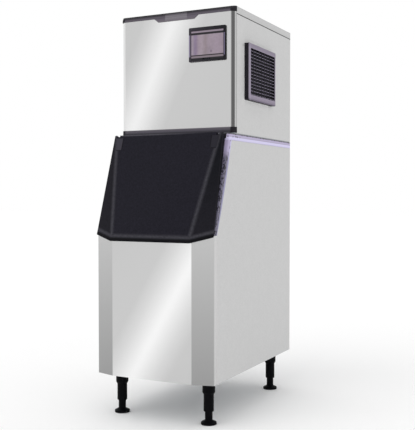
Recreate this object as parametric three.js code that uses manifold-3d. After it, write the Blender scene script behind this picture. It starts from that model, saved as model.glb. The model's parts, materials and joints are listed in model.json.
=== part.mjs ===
// Crescent ice maker: a modular ice-making head on an insulated storage bin with a sloped hood door.
// Millimetres. X runs to the right, Y to the back, Z up. While the pieces are drawn, the back of the
// cabinet is Y = 0, its middle X = 0 and the floor Z = 0; the whole moves over its footprint's centre last.
import * as THREE from 'three';
import { mergeVertices } from 'three/addons/utils/BufferGeometryUtils.js';
import Module from 'manifold-3d';

const wasm = await Module();
wasm.setup();

// Cabinet
const width = 560;
const headDepth = 657.7;
const binForward = 219.8;
const binBottom = 184;
const binHeight = 1028;
const headHeight = 538;
const sheet = 1.2;
const gap = 0.3;
const overrun = 20;
const weld = 0.001;

const half = width / 2;
const binDepth = headDepth + binForward;
const binTop = binBottom + binHeight;
const cabinetTop = binTop + headHeight;

// How far things lie in from the cabinet's sides, behind the head's front and below its top
const fromSide = {
  hinge: 36,
  hingeCap: 65,
  cheek: 15.2,
  ridgeTop: 24.7,
  ridgeBottom: 91.4,
  hoodTop: 17.3,
  raised: 64,
  seal: 28,
  window: 38.5,
  evaporator: 28,
  tank: 12,
  drain: 44,
  float: 90,
  valve: 80,
  paddle: 150,
  condenser: 26,
  shroud: 94,
  gland: 50,
  louvre: 36,
};
const fromFront = { grille: 101.7, drop: 25.7, chute: 145.7, tank: 152.7, evaporator: 237.7, bulkhead: 25 };
const fromTop = { window: 79, grille: 140, evaporator: 88, valve: 85, louvre: 290 };

// Bin: the front's chamfers, the walls and the rim round the mouth
const chamferWidth = 90.3;
const chamferDepth = 27.5;
const wrapDepth = 22.7;
const sideWall = 45;
const backWall = 46;
const floorWall = 55;
const frontWall = 48.5;
const linerWall = 4;
const floorFall = 8;
const railHeight = 29;
const edgeTopForward = 28.3;
const edgeBow = 6;
const cheekLength = 422;
const sill = { below: 42, above: 16 };
const headerHeight = 62;
const headerFront = { forward: 42.3, shelfForward: 47.3, shelfDrop: 22, noseDrop: 32 };
const headerBack = 4;
const edgeTopDepth = headDepth + edgeTopForward;
const cheekBottom = binTop - cheekLength;
const sillBottom = cheekBottom - sill.below;
const sillTop = cheekBottom + sill.above;
const headerBottom = binTop - headerHeight;
const headerDepth = headDepth + headerFront.forward;
const shelfDepth = headDepth + headerFront.shelfForward;

// Door: a hood that leans from over the head's front to beyond the bin's, wider and chamfered more at its lip
const hood = {
  forward: 82.3,
  rise: 3,
  overhang: 17.56,
  lipDrop: 30.54,
  lip: 21.9,
  lipSetBack: 1.7,
  ridgeTop: half - fromSide.ridgeTop,
  ridgeBottom: half - fromSide.ridgeBottom,
  sideTop: half - fromSide.hoodTop,
  facetTop: 1.2,
  facetBottom: 27,
  facetLip: 29,
  thickness: 30,
  wall: 4,
  ridgeInset: 0.2,
  underside: 35,
  lipClearance: 3,
};
const doorPanel = {
  top: 39,
  sheet: 3,
  raised: 8,
  raisedTop: 72,
  raisedFoot: 54.3,
  raisedHalf: half - fromSide.raised,
};
const doorSeal = { thick: 3, band: 12, top: 40, foot: 26.3, half: half - fromSide.seal };
const sealGap = 0.6;

// Hinge: a lug on each rim's cheek, in a slot of the hood between two ribs
const hinge = {
  drop: 10,
  inset: 15,
  centre: half - fromSide.hinge,
  slot: 16,
  lug: 12,
  lugRadius: 7,
  armHalf: 4,
  pinRadius: 4,
  rib: 4.5,
  ribDrop: 38,
  mouth: 12.4,
  cheek: half - fromSide.cheek,
};
const hingeCap = {
  inner: half - fromSide.hingeCap,
  top: 13.6,
  bottom: 72,
  ridgeMargin: 1.5,
  proud: 0.6,
  recess: 1.5,
  corner: 8,
};

// Legs and levelling feet
const leg = {
  setIn: 67.4,
  behindFront: 111.5,
  backDepth: 90,
  collarRadius: 27,
  collarHeight: 50.5,
  taper: 9,
  tubeRadius: 21.5,
  tubeBottom: 55,
  bore: 8.5,
  boreHeight: 75,
};
const foot = { radius: 33, rim: 9, dome: 18, stemRadius: 16, screwRadius: 8, screwHeight: 50 };

// Head: rolled front corners, plastic trims at the foot and top of the front
const rolledRadius = 20;
const headSeam = 3.3;
const panPlate = 2;
const panFlange = 22;
const returnFlange = 15;
const lidSkirt = 32.5;
const trim = { proud: 2.3, baseBottom: 1.7, baseHeight: 24.5, topHeight: 22.5, bevel: 10, bevelDepth: 7 };
const tab = { halfTop: 112, halfBottom: 88.5, drop: 16.5, thick: 2 };

// Control window in the front
const controlWindow = {
  wide: 176,
  tall: 146.5,
  bezelProud: 6,
  collarInset: 5.3,
  collarDepth: 15,
  sideBar: 11,
  topBar: 14,
  bottomBar: 7,
  ledge: 3,
  corner: 5,
};
const cover = { thick: 3, play: 0.6, pinRadius: 1.2, pinLength: 3 };
const notch = { left: 51, wide: 42, tall: 6 };
const panel = { sheet: 2, setIn: 1, displayProud: 0.8 };
const display = { left: 14, width: 78, bottom: 66, height: 40 };
const button = { radius: 6, proud: 5, collar: 8, collarThick: 2, play: 0.4, up: 32 };
const buttonPlaces = { start: 42, clean: 72 };
const rocker = { along: 118, up: 32, half: 10, wide: 13, proud: 4, behind: 5, angle: 8, play: 0.5 };
const controlBox = { depth: 64, margin: 3.1 };

// Air intake on the right side
const grille = {
  front: headDepth - fromFront.grille,
  back: 246,
  tall: 245,
  top: cabinetTop - fromTop.grille,
  standOut: 20,
  corner: 5,
  wall: 3,
  face: 4,
  sideBorder: 23,
  backBorder: 8,
  bottomBorder: 23,
  topBorder: 20,
  slats: 14,
  slatThick: 2,
  slatRise: 8,
  slatSetBack: 2,
  slatDepth: 11,
  mullions: 8,
  mullionWide: 3,
  mullionDeep: 1.5,
};
const filter = { thick: 3 };

// Head's insides
const bulkheadAt = 10;
const dropHole = { right: 20, front: headDepth - fromFront.drop, rim: 8 };
const tank = {
  left: half - fromSide.tank,
  right: 3,
  front: headDepth - fromFront.tank,
  tall: 78,
  wall: 3,
  drainRadius: 11,
  behind: 170,
};
const chute = {
  front: headDepth - fromFront.chute,
  behind: 45,
  foot: 10,
  rise: 89,
  thick: 5,
  bars: 11,
  barWide: 4,
  crossbars: 2,
  barDeep: 5,
};
const evaporator = {
  left: half - fromSide.evaporator,
  right: 8,
  middle: headDepth - fromFront.evaporator,
  aboveChute: 7,
  top: cabinetTop - fromTop.evaporator,
  channels: 8,
  channelSteps: 4,
  sag: 3.5,
  rib: 3,
  ribHeight: 7,
  endRib: 6,
  sheet: 1.2,
  earReach: 17.7,
  earThick: 2,
};
const coil = { radius: 4.75, rows: 10, margin: 16, inset: 20, play: 1 };
const liquidLine = { along: 60, bend: 22 };
const suctionLine = { bend: 22 };
const sprayTube = { height: 24, half: 17, wall: 2, endInset: 3 };
const drainHeight = 17;
const fittingReach = 24;
const pump = {
  along: 60,
  fromTankBack: 25,
  motorRadius: 24,
  motorUp: 10,
  motorHeight: 50,
  columnRadius: 9,
  volute: 21,
  voluteHeight: 14,
  riserAlong: 30,
  riserRadius: 6,
  bridge: 6,
};
const floatPost = { along: half - fromSide.float, fromTankBack: 60, radius: 5, height: 68, play: 0.5 };
const floatBody = { radius: 16, height: 22, up: 14 };
const valve = {
  along: half - fromSide.valve,
  height: cabinetTop - fromTop.valve,
  half: 24,
  deep: 50,
  tall: 40,
  thread: 10,
  fill: 5,
  fillTurn: 92,
  fillUp: 30,
};
const paddle = {
  along: half - fromSide.paddle,
  behindHole: 13,
  below: 10,
  half: 16,
  plate: 2,
  tail: 78,
  hub: 4,
  pin: 2,
  ear: 2,
};

// Refrigeration side
const compressor = {
  aside: 5,
  across: 150,
  radius: 72,
  foot: 8,
  bottom: 10,
  shoulder: 30,
  wallTop: 135,
  top: 180,
  plateHalf: 84,
  plateDeep: 62,
  plateThick: 3,
  grommet: 11,
  stub: 7,
  stubTop: 190,
  suction: 55,
  discharge: 40,
  canShares: { base: 0.7, crown: 0.9, dome: 0.6, crownRise: 0.5, domeRise: 0.87 },
};
const condenser = {
  along: half - fromSide.condenser,
  depth: 20,
  frontInset: 11,
  backInset: 9,
  bottomInset: 7,
  topInset: 6,
  fins: 6,
  folds: 4,
  tube: 3,
  fin: 1.6,
  header: 11,
  headerOut: 4,
  headerOver: 6,
  pipe: 5,
  pipeUp: 36,
  bend: 20,
};
const shroud = {
  along: half - fromSide.shroud,
  beyondFront: 10,
  beyondBack: 12,
  above: 2,
  throat: 104,
  collar: 12,
  collarThick: 1.5,
  lip: 75,
};
const fan = {
  radius: 96,
  bladeCount: 5,
  hub: 20,
  rootDepth: 8,
  hubDeep: 24,
  behindShroud: 4,
  bladeThick: 1.6,
  chordRoot: 34,
  chordTip: 62,
  angle: 28,
  bore: 4.3,
};
const motor = {
  behindShroud: 36,
  deep: 46,
  radius: 38,
  shaft: 4,
  shaftOut: 26,
  ring: 112,
  arm: 14,
  strap: 3,
  foot: 8,
};
const louvre = { columns: 2, rows: 9, wide: 84, tall: 8, pitchAcross: 100, pitchUp: 22 };
const gland = {
  along: half - fromSide.gland,
  up: 50,
  flange: 14,
  body: 8.5,
  nut: 13,
  bore: 4,
  out: 12,
  nutLength: 7,
  step: 4,
};
const binDrain = {
  along: 0,
  across: 110,
  radius: 14,
  bore: 10,
  flange: 22,
  flangeThick: 3,
  height: 26,
};

// Facets
const fine = 20;
const legSides = 16;
const round = 12;
const pipeSides = 6;
const bendSteps = 3;
const cornerSteps = 4;

const degree = Math.PI / 180;

// The hood's lean and length, from its top edge and where its lip ends
const hoodRun = binForward + hood.overhang - hood.forward;
const hoodFall = cheekLength + hood.rise + hood.lipDrop;
const hoodReach = Math.hypot(hoodRun, hoodFall);
const hoodTilt = Math.atan2(hoodRun, hoodFall) + Math.asin(hood.lipSetBack / hoodReach);
const hoodFace = Math.sqrt(hoodReach ** 2 - hood.lipSetBack ** 2) - hood.lip;
const slope = Math.tan(hoodTilt);

// Closed geometry to solid: shared corners are merged and collapsed triangles left out
function solid(geometry) {
  const bare = new THREE.BufferGeometry();
  bare.setAttribute('position', geometry.getAttribute('position'));
  bare.setIndex(geometry.index);
  const merged = mergeVertices(bare, weld);
  const corners = merged.index.array;
  const triVerts = [];
  for (let i = 0; i < corners.length; i += 3) {
    const triangle = corners.slice(i, i + 3);
    if (new Set(triangle).size === 3) triVerts.push(...triangle);
  }
  const vertProperties = merged.getAttribute('position').array;
  const mesh = new wasm.Mesh({ numProp: 3, vertProperties, triVerts: new Uint32Array(triVerts) });
  return new wasm.Manifold(mesh);
}

function join(solids) {
  return solids.reduce((whole, next) => whole.add(next));
}

function cut(body, cutters) {
  return cutters.reduce((whole, next) => whole.subtract(next), body);
}

// Rings of corners, all round the same way and as many in each, joined into one closed skin
function loft(rings, caps = fanned(rings[0].length)) {
  const count = rings[0].length;
  const index = [];
  for (let ring = 0; ring + 1 < rings.length; ring += 1) {
    for (let i = 0; i < count; i += 1) {
      const a = ring * count + i;
      const b = ring * count + ((i + 1) % count);
      index.push(a, b, b + count, a, b + count, a + count);
    }
  }
  const last = (rings.length - 1) * count;
  for (const [a, b, c] of caps) index.push(a, c, b, last + a, last + b, last + c);
  const geometry = new THREE.BufferGeometry();
  geometry.setAttribute('position', new THREE.Float32BufferAttribute(rings.flat(2), 3));
  geometry.setIndex(index);
  return solid(geometry);
}

function fanned(count) {
  return Array.from({ length: count - 2 }, (_, i) => [0, i + 1, i + 2]);
}

// An outline drawn out along an axis: its two coordinates are (y, z) for x, (x, z) for y and (x, y) for z
const placings = {
  x: (a, b, along) => [along, a, b],
  y: (a, b, along) => [a, along, b],
  z: (a, b, along) => [a, b, along],
};

function prism(axis, low, high, points, holes = []) {
  const mirrored = axis === 'y';
  const outline = points.map(([a, b]) => new THREE.Vector2(a, b));
  if (THREE.ShapeUtils.isClockWise(outline) !== mirrored) outline.reverse();
  const faces = THREE.ShapeUtils.triangulateShape(outline, []);
  const caps = mirrored ? faces.map((face) => face.reverse()) : faces;
  const rings = [low, high].map((along) => outline.map(({ x, y }) => placings[axis](x, y, along)));
  return cut(loft(rings, caps), holes.map((hole) => prism(axis, low - overrun, high + overrun, hole)));
}

function box([x0, x1], [y0, y1], [z0, z1]) {
  return loft([z0, z1].map((z) => [[x0, y0, z], [x1, y0, z], [x1, y1, z], [x0, y1, z]]));
}

function circle(radius, [a, b] = [0, 0], sides = round) {
  return Array.from({ length: sides }, (_, i) => {
    const turn = ((i + 0.5) / sides) * 2 * Math.PI;
    return [a + radius * Math.cos(turn), b + radius * Math.sin(turn)];
  });
}

function rod(axis, low, high, radius, centre, sides = round) {
  return prism(axis, low, high, circle(radius, centre, sides));
}

// A rectangle's outline, with round corners where a radius is given
function rectangle([a0, a1], [b0, b1], radius = 0) {
  if (radius === 0) return [[a0, b0], [a1, b0], [a1, b1], [a0, b1]];
  const [left, right] = [a0 + radius, a1 - radius];
  const [low, high] = [b0 + radius, b1 - radius];
  const centres = [[right, high], [left, high], [left, low], [right, low]];
  return centres.flatMap(([a, b], corner) =>
    Array.from({ length: cornerSteps + 1 }, (_, i) => {
      const turn = (corner + i / cornerSteps) * (Math.PI / 2);
      return [a + radius * Math.cos(turn), b + radius * Math.sin(turn)];
    }));
}

// A profile of radii and heights turned about an upright axis, or one laid along X or Y
function turned(axis, profile, [x, y, z], sides = fine) {
  const lathe = new THREE.LatheGeometry(profile.map(([r, h]) => new THREE.Vector2(r, h)), sides);
  if (axis === 'z') lathe.rotateX(Math.PI / 2);
  if (axis === 'x') lathe.rotateZ(-Math.PI / 2);
  return solid(lathe.translate(x, y, z));
}

// A route's corners rounded to a bend radius
function bent(corners, radius) {
  const points = corners.map((corner) => new THREE.Vector3(...corner));
  const route = [points[0]];
  for (let i = 1; i + 1 < points.length; i += 1) {
    const before = points[i].clone().sub(points[i - 1]).normalize();
    const after = points[i + 1].clone().sub(points[i]).normalize();
    const turn = before.angleTo(after);
    const reach = radius * Math.tan(turn / 2);
    const inward = after.clone().sub(before).normalize();
    const centre = points[i].clone().addScaledVector(inward, radius / Math.cos(turn / 2));
    for (let step = 0; step <= bendSteps; step += 1) {
      const angle = (step / bendSteps) * turn;
      const spoke = points[i].clone().addScaledVector(before, -reach).sub(centre);
      spoke.multiplyScalar(Math.cos(angle)).addScaledVector(before, radius * Math.sin(angle));
      route.push(spoke.add(centre));
    }
  }
  route.push(points.at(-1));
  return route;
}

// A round pipe along a route: each ring is slid along its leg onto the mitre with the next
function pipe(route, radius, sides = pipeSides) {
  const legs = route.slice(1).map((point, i) => point.clone().sub(route[i]).normalize());
  const side = new THREE.Vector3(legs[0].y, legs[0].z, legs[0].x).cross(legs[0]).normalize();
  const other = legs[0].clone().cross(side);
  let ring = circle(radius, [0, 0], sides).map(([a, b]) =>
    route[0].clone().addScaledVector(side, a).addScaledVector(other, b));
  const rings = [ring];
  for (let i = 1; i < route.length; i += 1) {
    const before = legs[i - 1];
    const mitre = before.clone().add(legs[i] ?? before).normalize();
    ring = ring.map((corner) => {
      const slide = route[i].clone().sub(corner).dot(mitre) / before.dot(mitre);
      return corner.clone().addScaledVector(before, slide);
    });
    rings.push(ring);
  }
  return loft(rings.map((each) => each.map((corner) => corner.toArray())));
}

// Both sides of the cabinet: a span measured outwards from the middle, on the side given by its sign
function span(side, inner, outer) {
  return side < 0 ? [-outer, -inner] : [inner, outer];
}

function rotate([a, b], angle) {
  return [a * Math.cos(angle) - b * Math.sin(angle), a * Math.sin(angle) + b * Math.cos(angle)];
}

// A span drawn in at both ends, or out where the distance is negative
function drawnIn([low, high], by) {
  return [low + by, high - by];
}

function spread(count, low, high) {
  return Array.from({ length: count }, (_, i) => low + ((high - low) * i) / (count - 1));
}

// Plan of the bin's chamfered front, set in by a distance, from one side's back point round to the other's
function binFront(inset, backY) {
  const turn = Math.atan2(chamferDepth, chamferWidth);
  const side = half - inset;
  const front = -(binDepth - inset);
  const ridge = half - chamferWidth - inset * Math.tan(turn / 2);
  const corner = -(binDepth - chamferDepth) + inset * Math.tan(Math.PI / 4 - turn / 2);
  return [[-side, backY], [-side, corner], [-ridge, front], [ridge, front], [side, corner], [side, backY]];
}

// Plan of the head's front with its rolled corners, set in or, where negative, out
function headFront(inset, backY) {
  const side = half - inset;
  const radius = rolledRadius - inset;
  const centreX = half - rolledRadius;
  const centreY = -(headDepth - rolledRadius);
  const arc = (from, sign) => Array.from({ length: cornerSteps + 1 }, (_, i) => {
    const turn = (from + i / cornerSteps) * (Math.PI / 2);
    return [sign * centreX + radius * Math.cos(turn), centreY + radius * Math.sin(turn)];
  });
  return [[-side, backY], ...arc(2, -1), ...arc(3, 1), [side, backY]];
}

// A bent sheet's plan: its outer line there and its inner line back
function strip(outer, inner) {
  return [...outer, ...inner.reverse()];
}

// Height and depth of the plane, parallel to the hood, that the door's seal meets
const doorTopY = -(headDepth + hood.forward);
const doorTopZ = binTop + hood.rise;
const sealPlane = hood.thickness + doorSeal.thick + gap + sealGap;
function sealY(z) {
  return doorTopY - slope * (doorTopZ - z) + sealPlane / Math.cos(hoodTilt);
}

// The slanted front edge of a bin side panel, bowed a little, from its foot up to the rail
const seamY = -(binDepth - chamferDepth - wrapDepth);
const railBottom = binTop - railHeight;
function slantedEdge(shift) {
  return spread(cornerSteps + 1, 0, 1).map((share) => {
    const bow = 4 * edgeBow * share * (1 - share);
    const y = seamY - (seamY + edgeTopDepth) * share + bow;
    return [y + shift, cheekBottom + (railBottom - cheekBottom) * share];
  });
}

// Bin

const [pinY, pinZ] = doorPoint(hinge.drop, -hinge.inset);
const pin = { y: pinY, z: pinZ };
const linerHalf = half - sideWall - gap;
const linerInner = linerHalf - linerWall;
const basePanBottom = binBottom + sheet + gap;
const floorTop = binBottom + floorWall;
const linerFront = -(binDepth - frontWall);
const throat = [
  [-headerDepth, binTop],
  [-shelfDepth, binTop - headerFront.shelfDrop],
  [sealY(binTop - headerFront.noseDrop), binTop - headerFront.noseDrop],
];

function binFrontPanel() {
  const shell = prism('z', binBottom, cheekBottom - gap, strip(binFront(0, seamY), binFront(sheet, seamY)));
  const flange = prism('z', binBottom, binBottom + sheet,
    strip(binFront(sheet / 2, seamY), binFront(returnFlange, seamY)));
  return cut(join([shell, flange]), [aboveUnderside(hood.lipClearance)]);
}

// The space above a plane parallel to the hood's underside and a little below it
function aboveUnderside(clearance) {
  const angle = hood.underside * degree;
  const lipEnd = doorPoint(hoodFace + hood.lip, -hood.lipSetBack);
  const reach = headDepth;
  const start = [lipEnd[0] - reach * Math.cos(angle), lipEnd[1] - reach * Math.sin(angle) - clearance];
  const end = [lipEnd[0] + chamferDepth + hood.lip, lipEnd[1] - clearance];
  end[1] += (end[0] - lipEnd[0]) * Math.tan(angle);
  return prism('x', -width, width, [start, end, [end[0], cabinetTop], [start[0], cabinetTop]]);
}

// A place on the hood, by its distance down the face and out of it, as (y, z)
function doorPoint(down, out) {
  return [
    doorTopY - down * Math.sin(hoodTilt) - out * Math.cos(hoodTilt),
    doorTopZ - down * Math.cos(hoodTilt) + out * Math.sin(hoodTilt),
  ];
}

function binSidePanel(side) {
  const top = railBottom - gap;
  const edge = slantedEdge(gap).map(([y, z]) => [y, Math.min(z, top)]);
  const outline = [[0, binBottom], [seamY + gap, binBottom], ...edge, [0, top]];
  const face = prism('x', ...span(side, half - sheet, half), outline);
  const foot = box(span(side, half - returnFlange, half), [seamY + gap, 0], [binBottom, binBottom + sheet]);
  return join([face, foot]);
}

function binBackPanel() {
  const wide = half - sheet - gap;
  const plate = rectangle([-wide, wide], [basePanBottom, binTop]);
  const hole = circle(binDrain.radius + gap, [binDrain.along, binBottom + binDrain.height]);
  return prism('y', -sheet, 0, plate, [hole]);
}

function binBasePan() {
  const inset = sheet + gap;
  const bottom = basePanBottom;
  const outer = binFront(inset, -inset);
  const plate = prism('z', bottom, bottom + panPlate, outer);
  const rim = prism('z', bottom, bottom + panFlange, outer, [binFront(inset + sheet, -inset - sheet)]);
  const drainAt = [binDrain.along, binBottom + binDrain.height];
  const passage = rod('y', -backWall, overrun, binDrain.radius + gap, drainAt);
  return cut(join([plate, rim]), [passage]);
}

// Tub open at the top and at the mouth, its floor falling back to the drain
function binLiner() {
  const outside = [
    [-backWall, floorTop - floorFall - linerWall],
    [-backWall, binTop],
    ...throat,
    [sealY(sillTop), sillTop],
    [linerFront - linerWall, sillTop],
    [linerFront - linerWall, floorTop - linerWall],
  ];
  const inside = [
    [-backWall - linerWall, floorTop - floorFall],
    [-backWall - linerWall, binTop + overrun],
    [-binDepth, binTop + overrun],
    [-binDepth, sillTop],
    [linerFront, sillTop],
    [linerFront, floorTop],
  ];
  const ledgeY = [-backWall - linerWall / 2, -sheet - gap];
  const ledge = box([-linerHalf, linerHalf], ledgeY, [binTop - linerWall, binTop]);
  const tub = prism('x', -linerHalf, linerHalf, outside);
  const drain = rod('z', binBottom, floorTop, binDrain.radius + sheet, [binDrain.along, -binDrain.across]);
  return cut(join([tub, ledge]), [prism('x', -linerInner, linerInner, inside), drain]);
}

// Foam between the panels and the liner
function binInsulation() {
  const inset = sheet + gap;
  const bottom = basePanBottom + panPlate + gap;
  const panWall = inset + sheet + gap;
  const plan = prism('z', bottom, railBottom - gap, binFront(panWall, -panWall));
  const outside = [
    [-panWall, bottom],
    [-binDepth, bottom],
    [-binDepth, sillBottom - gap],
    [seamY + gap, sillBottom - gap],
    [seamY + gap, cheekBottom - gap],
    ...slantedEdge(gap),
    [-edgeTopDepth + gap, railBottom - gap],
    [-panWall, railBottom - gap],
  ];
  const tub = [
    [-backWall + gap, floorTop - floorFall - linerWall - gap],
    [-backWall + gap, binTop],
    [-binDepth, binTop],
    [-binDepth, sillBottom - gap],
    [linerFront - linerWall - gap, sillBottom - gap],
    [linerFront - linerWall - gap, floorTop - linerWall - gap],
  ];
  const tubHalf = linerHalf + gap;
  const drainHalf = binDrain.flange + gap;
  const drainTop = floorTop - floorFall;
  const channel = box(
    [binDrain.along - drainHalf, binDrain.along + drainHalf],
    [-binDrain.across - drainHalf, overrun],
    [binBottom, drainTop],
  );
  return cut(plan.intersect(prism('x', -half, half, outside)), [prism('x', -tubHalf, tubHalf, tub), channel]);
}

// Rim rail under the head with the cheek down the slanted edge, and the door's hinge lug
function rim(side) {
  const tail = [[0, railBottom], [0, binTop]];
  const cheek = [[sealY(cheekBottom), cheekBottom], ...slantedEdge(0)];
  const outer = prism('x', ...span(side, hinge.cheek, half), [...tail, [sealY(binTop), binTop], ...cheek]);
  const inner = prism('x', ...span(side, half - sideWall, hinge.cheek), [...tail, ...throat, ...cheek]);
  const inward = prism('x', ...span(side, half - sideWall, half - sheet - gap), [
    [-sheet - gap, railBottom], [0, railBottom], [0, binTop], [-sheet - gap, binTop]]);
  const lugSpan = span(side, hinge.centre - hinge.lug / 2, hinge.centre + hinge.lug / 2);
  const root = [-shelfDepth, binTop - headerFront.shelfDrop];
  const lean = Math.atan2(pin.z - root[1], pin.y - root[0]);
  const edge = [hinge.armHalf * Math.sin(lean), -hinge.armHalf * Math.cos(lean)];
  const arm = prism('x', ...lugSpan, [
    [pin.y + edge[0], pin.z + edge[1]],
    [pin.y - edge[0], pin.z - edge[1]],
    [root[0] - edge[0], root[1] - edge[1] - hinge.lugRadius],
    [root[0] + edge[0] + hinge.lugRadius, root[1] + edge[1]],
  ]);
  const lug = join([arm, rod('x', ...lugSpan, hinge.lugRadius, [pin.y, pin.z])]);
  const bore = rod('x', ...span(side, 0, half), hinge.pinRadius + gap, [pin.y, pin.z]);
  const behind = prism('x', -half, half, rectangle([-sheet - gap, overrun], [0, binTop - railHeight - gap]));
  return cut(join([cut(join([outer, inner]), [inward]), cut(lug, [bore])]), [behind]);
}

function rimHeader() {
  const backY = -(headDepth + headerBack);
  return prism('x', -linerInner + gap, linerInner - gap, [
    [backY, headerBottom], [backY, binTop], ...throat, [sealY(headerBottom), headerBottom]]);
}

function rimSill() {
  const inset = sheet + gap;
  const profile = [
    [linerFront - linerWall - gap, sillBottom],
    [linerFront - linerWall - gap, sillTop],
    [sealY(sillTop), sillTop],
    [sealY(cheekBottom), cheekBottom],
    [-binDepth, cheekBottom],
    [-binDepth, sillBottom],
  ];
  const beam = prism('x', -linerInner + gap, linerInner - gap, profile);
  const inFront = prism('z', sillBottom, sillTop, binFront(inset, linerFront));
  return cut(beam.intersect(inFront), [aboveUnderside(hood.lipClearance)]);
}

function binDrainPipe() {
  const { along, radius, bore, flange, flangeThick } = binDrain;
  const low = binBottom + binDrain.height;
  const mouth = floorTop - floorFall;
  const top = mouth - linerWall - gap;
  const y = -binDrain.across;
  const elbow = (high, rear) => [[along, y, high], [along, y, low], [along, rear, low]]
    .map((corner) => new THREE.Vector3(...corner));
  const outside = join([
    pipe(elbow(mouth, fittingReach), radius, round),
    rod('z', top - flangeThick, top, flange, [along, y], fine),
  ]);
  return outside.subtract(pipe(elbow(floorTop + overrun, fittingReach + overrun), bore, round));
}

// Door, drawn in its own frame: X across, Y up the face from its top edge, Z out of it

function hoodRings(inset) {
  const ring = (y, ridge, side, facet, front) => [
    [-(side - inset), y, -hood.thickness],
    [side - inset, y, -hood.thickness],
    [side - inset, y, -facet - inset],
    [ridge - inset * hood.ridgeInset, y, front - inset],
    [-(ridge - inset * hood.ridgeInset), y, front - inset],
    [-(side - inset), y, -facet - inset],
  ];
  return [
    ring(-inset, hood.ridgeTop, hood.sideTop, hood.facetTop, 0),
    ring(-hoodFace, hood.ridgeBottom, half, hood.facetBottom, 0),
    ring(-hoodFace - hood.lip, hood.ridgeBottom, half, hood.facetLip, -hood.lipSetBack),
  ];
}

// The hood's outer form, or the space inside its walls, down to the sloped underside
function hoodForm(inset) {
  const rings = hoodRings(inset);
  if (inset > 0) rings.forEach((ring) => [0, 1].forEach((i) => { ring[i][2] = -hood.thickness - overrun; }));
  const angle = hood.underside * degree + hoodTilt;
  const low = hoodFace + hood.lip;
  const start = [-low + inset / Math.cos(angle), -hood.lipSetBack];
  const reach = low / 2;
  const run = [reach * Math.sin(angle), -reach * Math.cos(angle)];
  const below = [
    [start[0] - run[0], start[1] - run[1]],
    [start[0] + run[0], start[1] + run[1]],
    [-low - reach, start[1] + run[1]],
  ];
  return cut(loft(rings), [prism('x', -width, width, below)]);
}

function doorShell() {
  const shell = hoodForm(0).subtract(hoodForm(hood.wall));
  const pieces = [shell];
  const cutters = [];
  const behindFace = -hood.wall / 2;
  const ribY = [-hinge.ribDrop, behindFace];
  const ribZ = [-hood.thickness + gap, behindFace];
  for (const side of [-1, 1]) {
    const slotIn = hinge.centre - hinge.slot / 2;
    const slotOut = hinge.centre + hinge.slot / 2;
    for (const [inner, outer] of [[slotIn - hinge.rib, slotIn], [slotOut, slotOut + hinge.rib]]) {
      const rib = box(span(side, inner, outer), ribY, ribZ);
      pieces.push(rib.intersect(hoodForm(0)));
    }
    const slot = span(side, slotIn, slotOut);
    const pinSpan = span(side, slotIn - hinge.rib - gap, slotOut + hinge.rib + gap);
    cutters.push(box(slot, [-hinge.mouth, overrun], [-hood.thickness - overrun, overrun]));
    cutters.push(rod('x', ...pinSpan, hinge.pinRadius + gap, [-hinge.drop, -hinge.inset]));
    cutters.push(prism('z', -hingeCap.recess, overrun, capOutline(side, gap + gap)));
  }
  return cut(join(pieces), cutters);
}

// Cover plate of a hinge, between its inner edge and the hood's ridge
function capOutline(side, grow) {
  const ridgeAt = (y) => hood.ridgeTop + ((hood.ridgeTop - hood.ridgeBottom) * y) / hoodFace;
  const top = -hingeCap.top + grow;
  const bottom = -hingeCap.bottom - grow;
  const inner = hingeCap.inner - grow;
  const corner = Array.from({ length: cornerSteps + 1 }, (_, i) => {
    const turn = Math.PI * (1 + i / cornerSteps / 2);
    return [inner + hingeCap.corner * (1 + Math.cos(turn)), bottom + hingeCap.corner * (1 + Math.sin(turn))];
  });
  const points = [
    [inner, top],
    ...corner,
    [ridgeAt(bottom) - hingeCap.ridgeMargin + grow, bottom],
    [ridgeAt(top) - hingeCap.ridgeMargin + grow, top],
  ];
  return points.map(([x, y]) => [side * x, y]);
}

function hingeCapPlate(side) {
  return prism('z', -hingeCap.recess + gap, hingeCap.proud, capOutline(side, 0));
}

function doorLiner() {
  const { top, raised, raisedTop, raisedFoot, raisedHalf } = doorPanel;
  const rear = -hood.thickness + gap;
  const plate = box([-width, width], [-width, -top], [rear, rear + doorPanel.sheet]);
  const inside = hoodForm(hood.wall + gap).intersect(plate);
  const pressed = (inset, low, high) => box(
    [-raisedHalf + inset, raisedHalf - inset],
    [-hoodFace + raisedFoot + inset, -raisedTop - inset],
    [low, high],
  );
  const dish = pressed(0, rear - raised, rear + doorPanel.sheet);
  const hollow = pressed(doorPanel.sheet, rear - raised + doorPanel.sheet, rear + overrun);
  return cut(join([inside, dish]), [hollow]);
}

function doorGasket() {
  const band = (inset) => rectangle(
    [-doorSeal.half + inset, doorSeal.half - inset],
    [-hoodFace + doorSeal.foot + inset, -doorSeal.top - inset],
  );
  const high = -hood.thickness;
  return prism('z', high - doorSeal.thick, high, band(0), [band(doorSeal.band)]);
}

function hingePin(side) {
  const reach = hinge.slot / 2 + hinge.rib + gap;
  return rod('x', ...span(side, hinge.centre - reach, hinge.centre + reach), hinge.pinRadius, [pin.y, pin.z]);
}

// Leg: threaded collar under the bin and a tube that takes the foot's screw
function legTube(x, y) {
  const top = basePanBottom - gap;
  const boreTop = leg.tubeBottom + leg.boreHeight;
  return turned('z', [
    [0, boreTop],
    [leg.bore, boreTop],
    [leg.bore, leg.tubeBottom],
    [leg.tubeRadius, leg.tubeBottom],
    [leg.tubeRadius, top - leg.collarHeight - leg.taper],
    [leg.collarRadius, top - leg.collarHeight],
    [leg.collarRadius, top],
    [0, top],
  ], [x, y, 0], legSides);
}

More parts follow.
